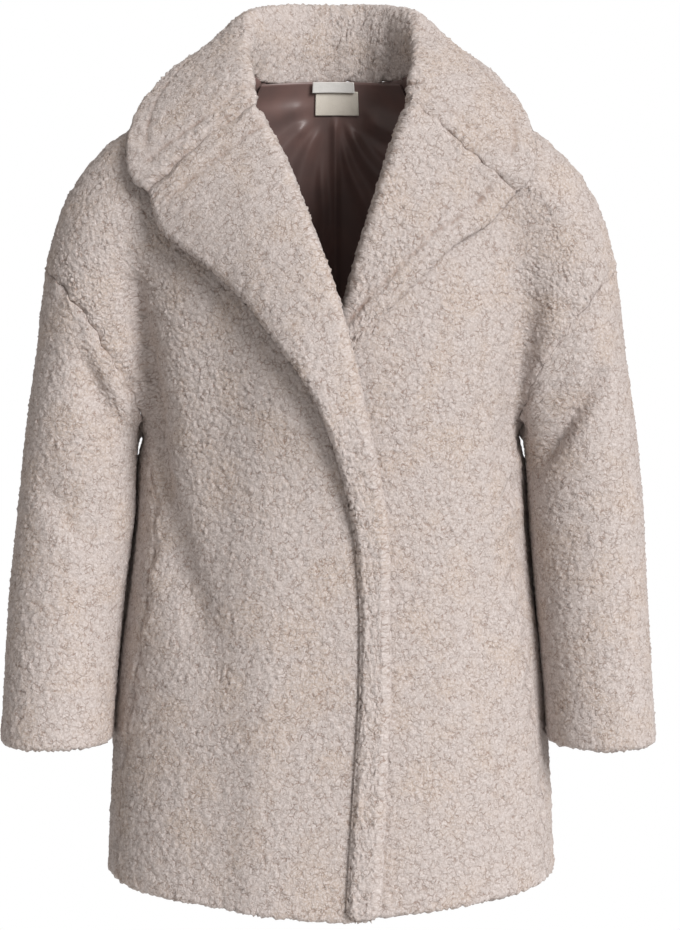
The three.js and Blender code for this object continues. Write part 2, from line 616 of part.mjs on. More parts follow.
// One half of the collar as columns of points down its middle layer, each with the way to its outer face
// and half its thickness there.
function collarHalf(side) {
  const front = side < 0 ? rightFront : leftFront;
  const back = side < 0 ? backRight : backLeft;
  const lapel = side < 0 ? rightLapel : leftLapel;
  const top = FRONT_ROWS.length - 1;
  const last = FRONT_COLUMNS - 1;
  const neck = [];
  for (let c = BACK_MIDDLE; c > last; c -= 1) neck.push({ spot: back[top][c], before: back[top - 1][c] });
  for (let r = top; r > GORGE_ROW; r -= 1) neck.push({ spot: front[r][last], before: front[r][last - 1] });
  // Where the collar meets the neck edge, layer for layer.
  const seams = neck.map(({ spot, before }) => {
    const away = spot.at.clone().sub(before.at).normalize().multiplyScalar(NECK_GAP);
    return { outer: raised(spot, -PILE_WALL).add(away), inner: spot.at.clone().add(away) };
  });
  const ends = lapel.outer.length - 1;
  const gorge = lapel.outer[ends].map((outer, c) => {
    const inner = lapel.inner[ends][c];
    const away = outer.clone().add(inner).sub(lapel.outer[ends - 1][c]).sub(lapel.inner[ends - 1][c]);
    away.setLength(1.2 * SEAM_GAP);
    return { outer: outer.clone().add(away), inner: inner.clone().add(away) };
  }).reverse();
  seams.push(gorge[0]);

  const middles = [];
  const sections = COLLAR.length - 1;
  for (let k = 0; k < sections * COLLAR_HALVES; k += 1) {
    const at = k / COLLAR_HALVES;
    const shape = through(COLLAR, Object.keys(COLLAR[0]), at);
    const roll = point(side * shape.rollX, shape.rollY, shape.rollZ);
    const edge = point(side * shape.edgeX, shape.edgeY, shape.edgeZ);
    if (at === COLLAR_CORNER.at) edge.set(side * COLLAR_CORNER.x, COLLAR_CORNER.y, COLLAR_CORNER.z);
    const low = seams[Math.floor(at)];
    const high = seams[Math.min(sections, Math.floor(at) + 1)];
    const outer = low.outer.clone().lerp(high.outer, at % 1);
    const inner = low.inner.clone().lerp(high.inner, at % 1);
    const seam = outer.clone().lerp(inner, 0.5);
    const across = point(edge.x - seam.x, edge.y - seam.y, 0).normalize();
    const size = clamp(roll.distanceTo(seam) / 45, 0.25, 1);
    const before = roll.clone().addScaledVector(across, -7 * size);
    before.z -= 7 * size;
    const after = roll.clone().addScaledVector(across, 9 * size);
    after.z -= 6 * size;
    const arch = (t) => after.clone().lerp(edge, t).add(point(0, 0, 2 * Math.sin(Math.PI * t)));
    let column = [seam, seam.clone().lerp(before, 0.5), before, roll, after, arch(0.33), arch(0.67), edge];
    if (at === COLLAR_CORNER.at) {
      const below = middles[middles.length - 1].column;
      column = gorge.map(({ outer: o, inner: i }, v) => o.clone().lerp(i, 0.5).lerp(below[v], 0.5));
      column[0] = seam;
      column[gorge.length - 1] = edge;
    }
    middles.push({ column, outer, inner, ending: clamp(at - (sections - 1.5), 0, 1) });
  }
  const clear = DOUBLE_WALL / 2 + 2;
  for (const { column } of middles) {
    for (let v = 4; v < column.length; v += 1) {
      for (let turn = 0; turn < 6 && bodyForm(column[v]) < clear; turn += 1) {
        const slope = slopeOf(bodyForm, column[v]);
        column[v].addScaledVector(slope, (clear + 0.5 - bodyForm(column[v])) / Math.max(slope.lengthSq(), 0.05));
      }
    }
  }
  middles.push({
    column: gorge.map(({ outer, inner }) => outer.clone().lerp(inner, 0.5)),
    outer: gorge[0].outer,
    inner: gorge[0].inner,
    ending: 1,
  });
  return { middles, gorge };
}

function collarGeometry() {
  const right = collarHalf(-1);
  const left = collarHalf(1);
  const columns = [...right.middles.slice().reverse(), ...left.middles.slice(1)];
  const steps = right.gorge.length;
  const final = columns.length - 1;
  const outer = [];
  const inner = [];
  for (let v = 0; v < steps; v += 1) {
    outer.push([]);
    inner.push([]);
    for (let k = 0; k <= final; k += 1) {
      const at = columns[k].column[v];
      const along = columns[Math.min(final, k + 1)].column[v].clone().sub(columns[Math.max(0, k - 1)].column[v]);
      const down = columns[k].column[Math.min(steps - 1, v + 1)].clone()
        .sub(columns[k].column[Math.max(0, v - 1)]);
      const out = along.cross(down).normalize();
      // Towards the gorge the collar takes on the thickness of the lapel's top edge.
      const end = (k < (columns.length - 1) / 2 ? right : left).gorge[v];
      const through = end.outer.clone().sub(end.inner);
      const half = mix((v === steps - 1 ? 0.75 : 1) * DOUBLE_WALL, through.length(), columns[k].ending) / 2;
      out.lerp(through.normalize(), 0.6 * columns[k].ending).normalize();
      outer[v].push(at.clone().addScaledVector(out, half));
      inner[v].push(at.clone().addScaledVector(out, -half));
    }
    outer[v][0] = right.gorge[v].outer;
    inner[v][0] = right.gorge[v].inner;
    outer[v][final] = left.gorge[v].outer;
    inner[v][final] = left.gorge[v].inner;
  }
  columns.forEach((column, k) => {
    outer[0][k] = column.outer;
    inner[0][k] = column.inner;
  });
  return wall(outer, inner);
}

// Lining, label and hanger tag

// Points inside the back, this far in from its outer face; x and z are where they are seen from the front.
function insideBack(x, z, depth) {
  return raised(straightTo(point(x, 0, z), 1), -depth);
}

// A pleat down the middle and soft folds that fan out below the label.
function liningFold(x, z) {
  const below = ramp(z, -46, -110);
  const pleat = 5 * Math.exp(-((x / 7) ** 2)) * ramp(z, -42, -75);
  const turn = Math.atan2(x, -z + 10);
  return pleat + below * 2.4 * (1 + Math.cos(turn * LINING_FOLDS)) * ramp(Math.abs(x), 4, 30);
}

function liningGeometry() {
  const at = (r, c, extra) => {
    const down = r / LINING_ROWS;
    const across = 2 * (c / LINING_COLUMNS) - 1;
    const x = across * mix(LINING_TOP_HALF, LINING_LOW_HALF, Math.min(1, 2.4 * down));
    const z = mix(LINING_TOP - LINING_DIP * across * across, LINING_LOW, down);
    return insideBack(x, z, PILE_WALL + LINING_IN + extra + liningFold(x, z));
  };
  const grid = (extra) => gridOf(LINING_ROWS + 1, LINING_COLUMNS + 1, (r, c) => at(r, c, extra));
  return wall(grid(0), grid(LINING_WALL));
}

// A small flat piece on the lining.
function patchGeometry(patch) {
  const grid = (extra) => gridOf(3, 9, (r, c) => insideBack(patch.x + patch.width * (c / 8 - 0.5),
    patch.z - patch.height * (r / 2), PILE_WALL + patch.level + extra));
  return wall(grid(0), grid(patch.wall));
}

// Sleeves

const SLEEVE_RINGS = 14;
const BLEND_RINGS = 5;     // rings between the armhole and the first level one
const FIRST_LEVEL = -428;

function sleeveGeometry(side) {
  const front = (side < 0 ? rightFront : leftFront);
  const top = FRONT_ROWS.length - 1;
  const hole = [];
  for (let r = ARMPIT_ROW; r < top; r += 1) hole.push(front[r][0].at);
  for (let r = top; r > ARMPIT_ROW; r -= 1) hole.push(backEdge(side, r).at);
  hole[top - ARMPIT_ROW] = front[top][0].at;
  const count = hole.length;
  const rings = gridOf(BLEND_RINGS + SLEEVE_RINGS + 1, count, (r, c) => {
    const turn = Math.PI + (c / count) * 2 * Math.PI;   // from the armpit round by the front
    const level = r <= BLEND_RINGS ? FIRST_LEVEL
      : mix(FIRST_LEVEL, CUFF_Z, (r - BLEND_RINGS) / SLEEVE_RINGS);
    const axis = ARM_LINE.reduce((a, b) => (Math.abs(b.z - level) < Math.abs(a.z - level) ? b : a));
    const ringPoint = point(side * (axis.x + axis.across * Math.cos(turn)),
      axis.y + axis.depth * Math.sin(turn), level);
    if (r >= BLEND_RINGS) return settled(sleeveForm, ringPoint);
    const down = r / BLEND_RINGS;
    const spot = settled(sleeveForm, hole[c].clone().lerp(ringPoint, down));
    return r > 0 ? spot : { at: hole[c].clone(), out: slopeOf(sleeveForm, hole[c]).normalize() };
  });
  // The first ring keeps a seam's gap from the body, along the sleeve.
  const apart = (r, c) => (r > 0 ? point(0, 0, 0)
    : rings[1][c].at.clone().sub(rings[0][c].at).setLength(SEAM_GAP));
  const swing = (p) => point((side < 0 ? -6 : -3) * ramp(p.z, -430, -570), 0, 0);
  const face = (level) => rings.map((ring, r) => ring.map((spot, c) =>
    raised(spot, level).add(apart(r, c)).add(swing(spot.at))));
  return wall(face(0), face(-PILE_WALL), true);
}

// The exported object

const FUR = { color: 0xd8c6b8, roughness: 0.95, metalness: 0 };
const SATIN = { color: 0x4a342f, roughness: 0.45, metalness: 0 };
const WOVEN = { color: 0xcdbfae, roughness: 0.8, metalness: 0 };
const WHITE_TAPE = { color: 0xe8e6e2, roughness: 0.8, metalness: 0 };

const coat = new THREE.Group();
function add(name, geometry, look) {
  const mesh = new THREE.Mesh(geometry, new THREE.MeshStandardMaterial(look));
  mesh.name = name;
  coat.add(mesh);
  return mesh;
}

add('front_right', frontGeometry(rightFront, rightLift), FUR);
add('front_left', frontGeometry(leftFront, noLift), FUR);
add('back', backGeometry(), FUR);
add('sleeve_right', sleeveGeometry(-1), FUR);
add('sleeve_left', sleeveGeometry(1), FUR);
add('lapel_right', wall(rightLapel.outer, rightLapel.inner), FUR);
add('lapel_left', wall(leftLapel.outer, leftLapel.inner), FUR);
add('collar', collarGeometry(), FUR);
add('lining_back', liningGeometry(), SATIN);
add('label', patchGeometry(LABEL), WOVEN);
add('hanger_tag', patchGeometry(HANGER_TAG), WHITE_TAPE);

export default coat;
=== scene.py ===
import math
import bpy
import numpy as np
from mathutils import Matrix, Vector


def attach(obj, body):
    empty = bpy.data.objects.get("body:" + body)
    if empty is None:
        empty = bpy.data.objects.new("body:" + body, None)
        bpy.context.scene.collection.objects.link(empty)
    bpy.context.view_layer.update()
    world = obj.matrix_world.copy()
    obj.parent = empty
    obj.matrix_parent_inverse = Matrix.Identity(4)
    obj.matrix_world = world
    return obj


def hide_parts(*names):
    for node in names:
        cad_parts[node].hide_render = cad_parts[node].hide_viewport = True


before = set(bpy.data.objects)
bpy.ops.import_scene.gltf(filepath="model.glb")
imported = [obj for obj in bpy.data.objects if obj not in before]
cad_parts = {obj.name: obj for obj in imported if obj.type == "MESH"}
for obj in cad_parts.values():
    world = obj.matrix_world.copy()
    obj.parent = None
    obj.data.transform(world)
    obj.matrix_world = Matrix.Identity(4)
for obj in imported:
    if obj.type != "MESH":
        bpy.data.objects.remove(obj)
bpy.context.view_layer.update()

PILE_WALL = 9.0
DOUBLE_WALL = 14.0
SEAM_GAP = 0.4
NECK_GAP = 0.9
LAYER_GAP = 0.5
PASSING_GAP = 1.6
RIGHT_STAND_OFF = 13.0
LEFT_STAND_OFF = 5.0
ROLL_TURN = 9.0
LINING_WALL = 1.2
LINING_IN = 2.4
LINING_TOP = 4.4
LINING_DIP = 1.0
LINING_LOW = -390.0
LINING_TOP_HALF = 82.0
LINING_LOW_HALF = 150.0
HEM_Z = -866.0
CUFF_Z = -704.0
ARMPIT_Z = -386.0
SHOULDER_TOP = np.array([86.0, 6.0, -4.0])
NAPE = np.array([0.0, 78.0, 1.0])

# z, half width, depth to the front, depth to the back, how square
TORSO = np.array([
    (-880, 240, 142, 127, 2.35), (-740, 234, 139, 125, 2.35), (-630, 226, 136, 122, 2.35),
    (-500, 209, 132, 118, 2.35), (-386, 203, 130, 115, 2.4), (-300, 212, 127, 113, 2.4),
    (-200, 212, 118, 108, 2.3), (-150, 202, 110, 103, 2.2), (-100, 178, 98, 96, 2.1),
    (-60, 142, 86, 88, 2), (-30, 112, 76, 82, 2), (0, 90, 62, 78, 2), (20, 80, 52, 74, 2),
], float)

# x, y, z of the sleeve's axis, half its width, half its depth
ARM = np.array([
    (0, 6, -60, 56, 60), (95, 6, -60, 58, 62), (150, 5, -82, 58, 64), (200, 4, -114, 57, 66),
    (233, 2, -156, 57, 67), (249, 0, -215, 58, 68), (257, -4, -300, 59, 66), (267, -10, -385, 60, 65),
    (275, -17, -455, 58, 63), (283, -27, -553, 56, 61), (289, -38, -650, 54, 59),
    (292, -43, CUFF_Z, 54, 57), (294, -46, -740, 54, 57),
], float)

# The fronts' side edge, and how many rows of points lie between a section and the next
FRONT_SIDE = np.array([
    (229, -56, -850), (221, -58, -738), (206, -68, -640), (197, -70, -549), (189, -66, -471),
    (194, -46, -420), (203, 0, -386), (207, -28, -354), (222, -60, -314), (243, -72, -278),
    (258, -68, -256), (272, -60, -238), (286, -46, -222), (307, 0, -199),
], float)
FRONT_STEPS = (4, 3, 3, 3, 2, 2, 2, 2, 2, 2, 2, 2, 4)
ARMPIT_SECTION = 6
GORGE_SECTION = 12

# lapelX, lapelZ, rollX, rollZ in the same sections
RIGHT_FRONT = np.array([
    (14, -866, 49, -865), (21, -747, 54, -745), (27, -645, 59, -643), (28, -553, 58, -550),
    (22, -475, 57, -471), (11, -422, 48, -414), (-1, -380, 39, -371), (-20, -332, 28, -318),
    (-57, -277, 11, -248), (-92, -233, -7, -193), (-134, -196, -27, -139), (-169, -169, -46, -91),
    (-189, -127, -76, -36),
], float)
LEFT_FRONT = np.array([
    (20, -866, -48, -865), (20, -746, -48, -745), (20, -644, -48, -643), (18, -551, -47, -550),
    (15, -473, -44, -471), (12, -418, -40, -414), (8, -376, -32, -371), (12, -318, -12, -312),
    (48, -262, 10, -248), (88, -220, 26, -190), (124, -184, 42, -138), (160, -161, 57, -90),
    (190, -127, 77, -32),
], float)
LEFT_LAPEL_SECTION = 7

BACK_ARMHOLE = np.array([
    (203, 0, -386), (206, 20, -360), (213, 44, -332), (226, 60, -305), (243, 66, -279),
    (262, 64, -254), (283, 50, -228), (307, 0, -199),
], float)

# The collar's half: top of the roll x, y, z and free edge x, y, z, from the nape to the gorge
COLLAR = np.array([
    (0, 93, 92, 0, 128, 26), (33, 88, 92, 54, 122, 26), (64, 68, 88, 104, 102, 25),
    (89, 34, 76, 139, 66, 22), (92, 6, 50, 169, 32, 10), (90, -22, 28, 192, 0, -16),
    (86, -50, 2, 211, -32, -52), (80, -80, -30, 196, -86, -118),
], float)
CORNER_AT = 6.5
CORNER = (214.0, -60.0, -88.0)

# Folds as soft troughs: face, x and z of both ends, depth, half width
FOLDS = [
    (-1, -208, -204, -176, -430, 11, 17), (-1, -174, -450, -130, -610, 9, 24),
    (-1, 206, -215, 182, -420, 6, 17), (-1, 188, -170, 150, -430, 5, 22),
    (-1, 172, -470, 150, -640, 4, 26), (-1, -272, -296, -222, -392, 8, 13),
    (-1, -306, -420, -250, -470, 5, 15), (-1, 290, -340, 214, -420, 5, 20),
    (-1, 318, -420, 240, -490, 5, 16), (1, -200, -215, -176, -440, 7, 18),
    (1, 203, -200, 174, -450, 8, 18), (1, -150, -480, -110, -700, 5, 28),
    (1, 156, -500, 120, -720, 6, 28), (1, -292, -330, -222, -400, 9, 15),
    (1, 286, -320, 220, -405, 9, 15), (1, -326, -480, -262, -440, 6, 16),
    (1, 330, -490, 262, -450, 6, 16),
]
FOLD_END = 0.12

# Creases of the front that are too narrow for the solids: x and z of both ends, depth, half width
CREASES = [
    (-206, -220, -174, -440, 12, 9), (-178, -430, -132, -570, 5, 16), (-262, -296, -222, -384, 7, 10),
    (-221, -306, -198, -368, 4, 9), (-300, -440, -246, -500, 4, 12), (285, -320, 190, -444, 17, 10),
    (238, -236, 194, -470, -7, 14), (210, -240, 178, -420, 4, 14), (180, -470, 150, -640, 3, 22),
    (322, -500, 262, -560, 3, 14),
]
CREASE_END = 0.2


# Numbers and points

def mix(a, b, t):
    return a + (b - a) * t


def ramp(v, start, end):
    t = np.clip((v - start) / (end - start), 0, 1)
    return t * t * (3 - 2 * t)


def unit(v):
    return v / np.maximum(np.linalg.norm(v, axis=-1, keepdims=True), 1e-9)


def through(rows, at):
    """A cubic through the rows of a table, at places between them."""
    at = np.atleast_1d(np.asarray(at, float))
    i = np.clip(np.floor(at).astype(int), 0, len(rows) - 2)
    t = (at - i)[:, None]
    p1, p2 = rows[i], rows[i + 1]
    p0 = np.where((i > 0)[:, None], rows[np.maximum(i - 1, 0)], 2 * p1 - p2)
    p3 = np.where((i + 2 < len(rows))[:, None], rows[np.minimum(i + 2, len(rows) - 1)], 2 * p2 - p1)
    return 0.5 * (2 * p1 + (p2 - p0) * t + (2 * p0 - 5 * p1 + 4 * p2 - p3) * t * t
                  + (3 * p1 - p0 - 3 * p2 + p3) * t ** 3)


def in_two_runs(rows, at, split):
    """The same, with a sharp turn at one of the rows."""
    at = np.atleast_1d(at)
    return np.where((at <= split)[:, None], through(rows[:split + 1], np.minimum(at, split)),
                    through(rows[split:], np.maximum(at - split, 0)))


def section_at(z):
    heights = TORSO[:, 0]
    at = np.clip(z, heights[0], heights[-1])
    i = np.clip(np.searchsorted(heights, at, side="left") - 1, 0, len(heights) - 2)
    every = np.arange(len(TORSO))
    low, high = np.maximum(every - 1, 0), np.minimum(every + 1, len(TORSO) - 1)
    slopes = (TORSO[high, 1:] - TORSO[low, 1:]) / (heights[high] - heights[low])[:, None]
    span = (heights[i + 1] - heights[i])[:, None]
    t = (at - heights[i])[:, None] / span
    found = ((2 * t ** 3 - 3 * t * t + 1) * TORSO[i, 1:] + (t ** 3 - 2 * t * t + t) * slopes[i] * span
             + (3 * t * t - 2 * t ** 3) * TORSO[i + 1, 1:] + (t ** 3 - t * t) * slopes[i + 1] * span)
    return found.T


# The form under the cloth's outer face: how far a point lies outside it

def torso_form(p):
    half, front, back, square = section_at(p[:, 2])
    depth = np.where(p[:, 1] < 0, front, back)
    share = (np.abs(p[:, 0] / half) ** square + np.abs(p[:, 1] / depth) ** square) ** (1 / square)
    return np.hypot(p[:, 0], p[:, 1]) * (1 - 1 / np.maximum(share, 1e-6))


ARM_LINE = through(ARM, np.arange((len(ARM) - 1) * 4 + 1) / 4)


def arm_form(p):
    q = np.column_stack([np.abs(p[:, 0]), p[:, 1], p[:, 2]])
    a, b = ARM_LINE[:-1], ARM_LINE[1:]
    d = (b - a)[:, :3]
    t = np.clip(((q[:, None] - a[None, :, :3]) * d).sum(2) / (d * d).sum(1), 0, 1)
    off = q[:, None] - a[None, :, :3] - t[..., None] * d
    far = (off ** 2).sum(2)
    k = far.argmin(1)
    n = np.arange(len(q))
    off, t, d, far = off[n, k], t[n, k], d[k], far[n, k]
    across = (off[:, 0] * d[:, 2] - off[:, 2] * d[:, 0]) / np.hypot(d[:, 0], d[:, 2])
    deep = np.sqrt(np.maximum(0, far - across ** 2))
    share = np.hypot(across / mix(a[k, 3], b[k, 3], t), deep / mix(a[k, 4], b[k, 4], t))
    return np.sqrt(far) * (1 - 1 / np.maximum(share, 1e-6))


def joined(a, b, soft):
    h = np.clip(0.5 + 0.5 * (b - a) / soft, 0, 1)
    return mix(b, a, h) - soft * h * (1 - h)


def trough(p, end, x1, z1, x2, z2, deep, half):
    """How deep a trough is at points; its ends have sin(pi * end) of its depth."""
    dx, dz = x2 - x1, z2 - z1
    x, z = p[..., 0] - x1, p[..., 2] - z1
    t = np.clip((x * dx + z * dz) / (dx * dx + dz * dz), 0, 1)
    bowl = np.sin(np.pi * (end + (1 - 2 * end) * t))
    return deep * bowl * np.exp(-((np.hypot(x - t * dx, z - t * dz) / half) ** 2))


def fold_at(p):
    depth = sum(((p[:, 1] < 0) == (face < 0)) * trough(p, FOLD_END, *row) for face, *row in FOLDS)
    return depth * ramp(np.abs(p[:, 1]), 6, 40)


def crease_at(p):
    return sum(trough(p, CREASE_END, *row) for row in CREASES) * ramp(-p[..., 1], 15, 60)


# How softly body and sleeve run into each other, at the armpit and from the low shoulder up, and how far
# the two part at the armpit
ARMPIT_SOFT = (36, 60)
SHOULDER_LOW = -215
ARMPIT_PARTING = 34
PARTING_FADE = 36


def form_of(main, other):
    def form(p):
        soft = mix(*ARMPIT_SOFT, ramp(p[:, 2], ARMPIT_Z, SHOULDER_LOW))
        parting = ARMPIT_PARTING * (1 - ramp(p[:, 2], ARMPIT_Z, ARMPIT_Z + PARTING_FADE))
        own = main(p)
        both = joined(own, other(p) + parting, soft)
        return fold_at(p) + np.where(p[:, 2] < ARMPIT_Z, own, both)
    return form


body_form = form_of(torso_form, arm_form)
sleeve_form = form_of(arm_form, torso_form)


def slope_of(form, p):
    step = 0.5
    moves = np.concatenate([np.eye(3), -np.eye(3)]) * step
    found = form((p[None] + moves[:, None]).reshape(-1, 3)).reshape(6, -1)
    return ((found[:3] - found[3:]) / (2 * step)).T


def settled(form, start):
    """Carries points to the form's surface; gives them and the way out there."""
    p = np.array(start, float)
    for _ in range(12):
        slope = slope_of(form, p)
        move = slope * (-form(p) / np.maximum((slope ** 2).sum(1), 1e-6))[:, None]
        size = np.linalg.norm(move, axis=1)
        p += move * (np.minimum(size, 25) / np.maximum(size, 1e-9))[:, None]
    return p, unit(slope_of(form, p))


def straight_to(seed, face):
    """Carries points straight forwards or back to the body's surface."""
    seed = np.asarray(seed, float)

    def at(y):
        return np.column_stack([seed[:, 0], y, seed[:, 2]])
    depths = face * np.arange(240, 7, -8.0)
    tried = np.stack([body_form(at(np.full(len(seed), y))) for y in depths])
    hit = (tried <= 0).any(0)
    first = np.where(hit, (tried <= 0).argmax(0), len(depths) - 1)
    inside = depths[first]
    outside = depths[np.maximum(first - 1, 0)]
    for _ in range(16):
        middle = (inside + outside) / 2
        out = body_form(at(middle)) > 0
        outside, inside = np.where(out, middle, outside), np.where(out, inside, middle)
    p = at((inside + outside) / 2)
    if not hit.all():
        p[~hit] = settled(body_form, seed[~hit])[0]
    return p, unit(slope_of(body_form, p))


def back_at(seed):
    flat = seed * (1, 1, 0)
    p = seed - unit(flat) * torso_form(seed)[:, None]
    straight = ramp(np.abs(seed[:, 0]) / section_at(seed[:, 2])[0], 0.98, 0.8)
    share = 1 - ramp(seed[:, 2], ARMPIT_Z + 90, ARMPIT_Z + 30) * (1 - straight)
    near = settled(body_form, p)[0]
    ahead = straight_to(seed, 1)[0]
    return settled(body_form, mix(near, ahead, share[:, None]))


# Fronts

FRONT_ROWS = np.array([i + k / n for i, n in enumerate(FRONT_STEPS) for k in range(n)] + [13.0])
ARMPIT_ROW = int(np.where(FRONT_ROWS == ARMPIT_SECTION)[0][0])
GORGE_ROW = int(np.where(FRONT_ROWS == GORGE_SECTION)[0][0])
PANEL_STEPS = 9
LAPEL_STEPS = 4
FRONT_COLUMNS = PANEL_STEPS + LAPEL_STEPS + 1
TOP_ROW = len(FRONT_ROWS) - 1
SHOULDER_TURN = TOP_ROW - ARMPIT_ROW


def side_edge(side, at):
    return in_two_runs(FRONT_SIDE, at, ARMPIT_SECTION)[0] * (side, 1, 1)


def front_grid(table, side):
    spots, outs = [], []
    for at in FRONT_ROWS:
        edge = side_edge(side, at)
        lapel_x, lapel_z, roll_x, roll_z = through(table, min(at, GORGE_SECTION))[0]
        lapel = np.array([lapel_x, -section_at(np.array([lapel_z]))[1][0] * 0.9, lapel_z])
        roll = np.array([roll_x, -section_at(np.array([roll_z]))[1][0], roll_z])
        above = max(0.0, at - GORGE_SECTION)
        if above > 0:
            lapel = mix(lapel, np.array([side * 160, 4, -26]), above)
            roll = mix(roll, SHOULDER_TOP * (side, 1, 1), above)
            roll = roll + np.array([side * 12, -6, -8]) * math.sin(math.pi * above)
        roll = mix(roll, lapel, (1 - above) * ROLL_TURN / np.linalg.norm(roll - lapel))
        row = [mix(edge, lapel, (c / PANEL_STEPS) ** 1.25) for c in range(PANEL_STEPS)]
        row += [mix(lapel, roll, c / LAPEL_STEPS) for c in range(LAPEL_STEPS + 1)]
        row = np.array(row)
        spot, out = settled(body_form, row)
        if above == 0:
            ahead, ahead_out = straight_to(row[1:], -1)
            spot[1:], out[1:] = ahead, ahead_out
        spots.append(spot)
        outs.append(out)
    return np.array(spots), np.array(outs)


# The right front rises over the left one, and again over its lapel: where each rise starts and ends
LAYER_X, LAYER_Z = (-125, -62), (-60, -200)
CROSSING_X, CROSSING_LOW_Z, CROSSING_HIGH_Z = (-96, -8), (-455, -340), (-110, -235)
CROSSING_GAP = PASSING_GAP + 1.2
# The lapels' walls grow thicker from the hem up.
RIGHT_THIN, RIGHT_THICKENS = 8, (-560, -330)
LEFT_THIN, LEFT_THICKENS = 6, (-320, -220)


def right_lift(p):
    layer = (PILE_WALL + PASSING_GAP) * ramp(p[..., 0], *LAYER_X) * ramp(p[..., 2], *LAYER_Z)
    crossing = ramp(p[..., 2], *CROSSING_LOW_Z) * ramp(p[..., 2], *CROSSING_HIGH_Z)
    return layer + (DOUBLE_WALL + CROSSING_GAP) * crossing * ramp(p[..., 0], *CROSSING_X)


def no_lift(p):
    return np.zeros(p.shape[:-1])


def right_wall(p):
    return mix(RIGHT_THIN, DOUBLE_WALL, ramp(p[..., 2], *RIGHT_THICKENS))


def left_wall(p):
    return mix(LEFT_THIN, DOUBLE_WALL, ramp(p[..., 2], *LEFT_THICKENS))


def lapel_faces(grid, lift, first, thin, stand_off):
    spot, out = (g[first:GORGE_ROW + 1, PANEL_STEPS:] for g in grid)
    inner_share = np.arange(LAPEL_STEPS + 1) / LAPEL_STEPS
    free = ramp(spot[..., 2], -520, -300) * (1 - inner_share)
    under = lift(spot) + LAYER_GAP + stand_off * free
    thick = thin(spot) * np.where(inner_share == 0, 0.75, 1)
    edge, edge_out = spot[:, -1], out[:, -1]
    beyond = unit(edge - spot[:, -2])
    level = lift(edge)

    def turned(reach, height):
        return edge + edge_out * (level + height)[:, None] + beyond * reach
    upper = [turned(0.7 * ROLL_TURN, LAYER_GAP + 0.62 * thin(edge)), turned(ROLL_TURN, -1 + 0 * level),
             turned(0.9 * ROLL_TURN, -PILE_WALL + 0 * level)]
    lower = [turned(SEAM_GAP, h + 0 * level) for h in (LAYER_GAP, -4, -PILE_WALL)]
    outer = np.concatenate([spot + out * (under + thick)[..., None], np.stack(upper, 1)], 1)
    inner = np.concatenate([spot + out * under[..., None], np.stack(lower, 1)], 1)
    return outer, inner


right_front = front_grid(RIGHT_FRONT, -1)
left_front = front_grid(LEFT_FRONT, 1)
right_lapel = lapel_faces(right_front, right_lift, 0, right_wall, RIGHT_STAND_OFF)
left_first = int(np.where(FRONT_ROWS == LEFT_LAPEL_SECTION)[0][0])
left_lapel = lapel_faces(left_front, no_lift, left_first, left_wall, LEFT_STAND_OFF)


# Back

NECK_STEPS = 3
BACK_MIDDLE = FRONT_COLUMNS - 1 + NECK_STEPS


def front_of(side):
    return right_front if side < 0 else left_front


def back_edge(side, r):
    if r <= ARMPIT_ROW:
        spot, out = front_of(side)
        return spot[r, 0], out[r, 0]
    share = (FRONT_ROWS[r] - ARMPIT_SECTION) / (len(FRONT_SIDE) - 1 - ARMPIT_SECTION)
    spot = through(BACK_ARMHOLE, share * (len(BACK_ARMHOLE) - 1)) * (side, 1, 1)
    at, out = settled(body_form, spot)
    return at[0], out[0]


def back_level(edge, middle_z, spread):
    start = math.atan2(edge[1], abs(edge[0]))
    turn = mix(start, math.pi / 2, spread)
    z = mix(edge[2], middle_z, np.sin(spread * math.pi / 2))
    sizes = section_at(z)
    p = np.column_stack([np.sign(edge[0]) * np.cos(turn) * sizes[0], np.sin(turn) * sizes[2], z])
    return p - unit(p * (1, 1, 0)) * torso_form(p)[:, None]


def back_half(side):
    spot, out = front_of(side)
    neck = [(side * SHOULDER_TOP[0] * math.cos(k / NECK_STEPS * math.pi / 2),
             mix(SHOULDER_TOP[1], NAPE[1], math.sin(k / NECK_STEPS * math.pi / 2)),
             mix(SHOULDER_TOP[2], NAPE[2], k / NECK_STEPS)) for k in range(1, NECK_STEPS + 1)]
    neck_at, neck_out = settled(body_form, neck)
    shoulder = np.concatenate([spot[TOP_ROW], neck_at])
    shoulder_out = np.concatenate([out[TOP_ROW], neck_out])
    lengths = np.concatenate([[0], np.cumsum(np.linalg.norm(np.diff(shoulder, axis=0), axis=1))])
    spread = lengths / lengths[-1]
    armpit = back_level(back_edge(side, ARMPIT_ROW)[0], ARMPIT_Z + 26, spread)
    spots, outs = [], []
    for r in range(TOP_ROW + 1):
        if r == TOP_ROW:
            spots.append(shoulder)
            outs.append(shoulder_out)
            continue
        edge, edge_out = back_edge(side, r)
        if r <= ARMPIT_ROW:
            level = back_level(edge, mix(HEM_Z + 14, ARMPIT_Z + 26, r / ARMPIT_ROW), spread)
            at, way = settled(body_form, level)
        else:
            up = (r - ARMPIT_ROW) / (TOP_ROW - ARMPIT_ROW)
            slack = edge - mix(armpit[0], shoulder[0], up)
            p = mix(armpit, shoulder, up) + slack * (1 - spread)[:, None]
            at, way = settled(body_form, p) if up > 0.86 else back_at(p)
        at[0], way[0] = edge, edge_out
        spots.append(at)
        outs.append(way)
    return np.array(spots), np.array(outs)


back_right = back_half(-1)
back_left = back_half(1)
back_spot, back_out = (np.concatenate([back_right[k], back_left[k][:, -2::-1]], 1) for k in (0, 1))
back_shift = np.zeros_like(back_spot)
back_shift[:ARMPIT_ROW + 1, (0, -1), 1] = SEAM_GAP
back_shift[TOP_ROW, :FRONT_COLUMNS, 1] = SEAM_GAP
back_shift[TOP_ROW, -FRONT_COLUMNS:, 1] = SEAM_GAP


# Collar

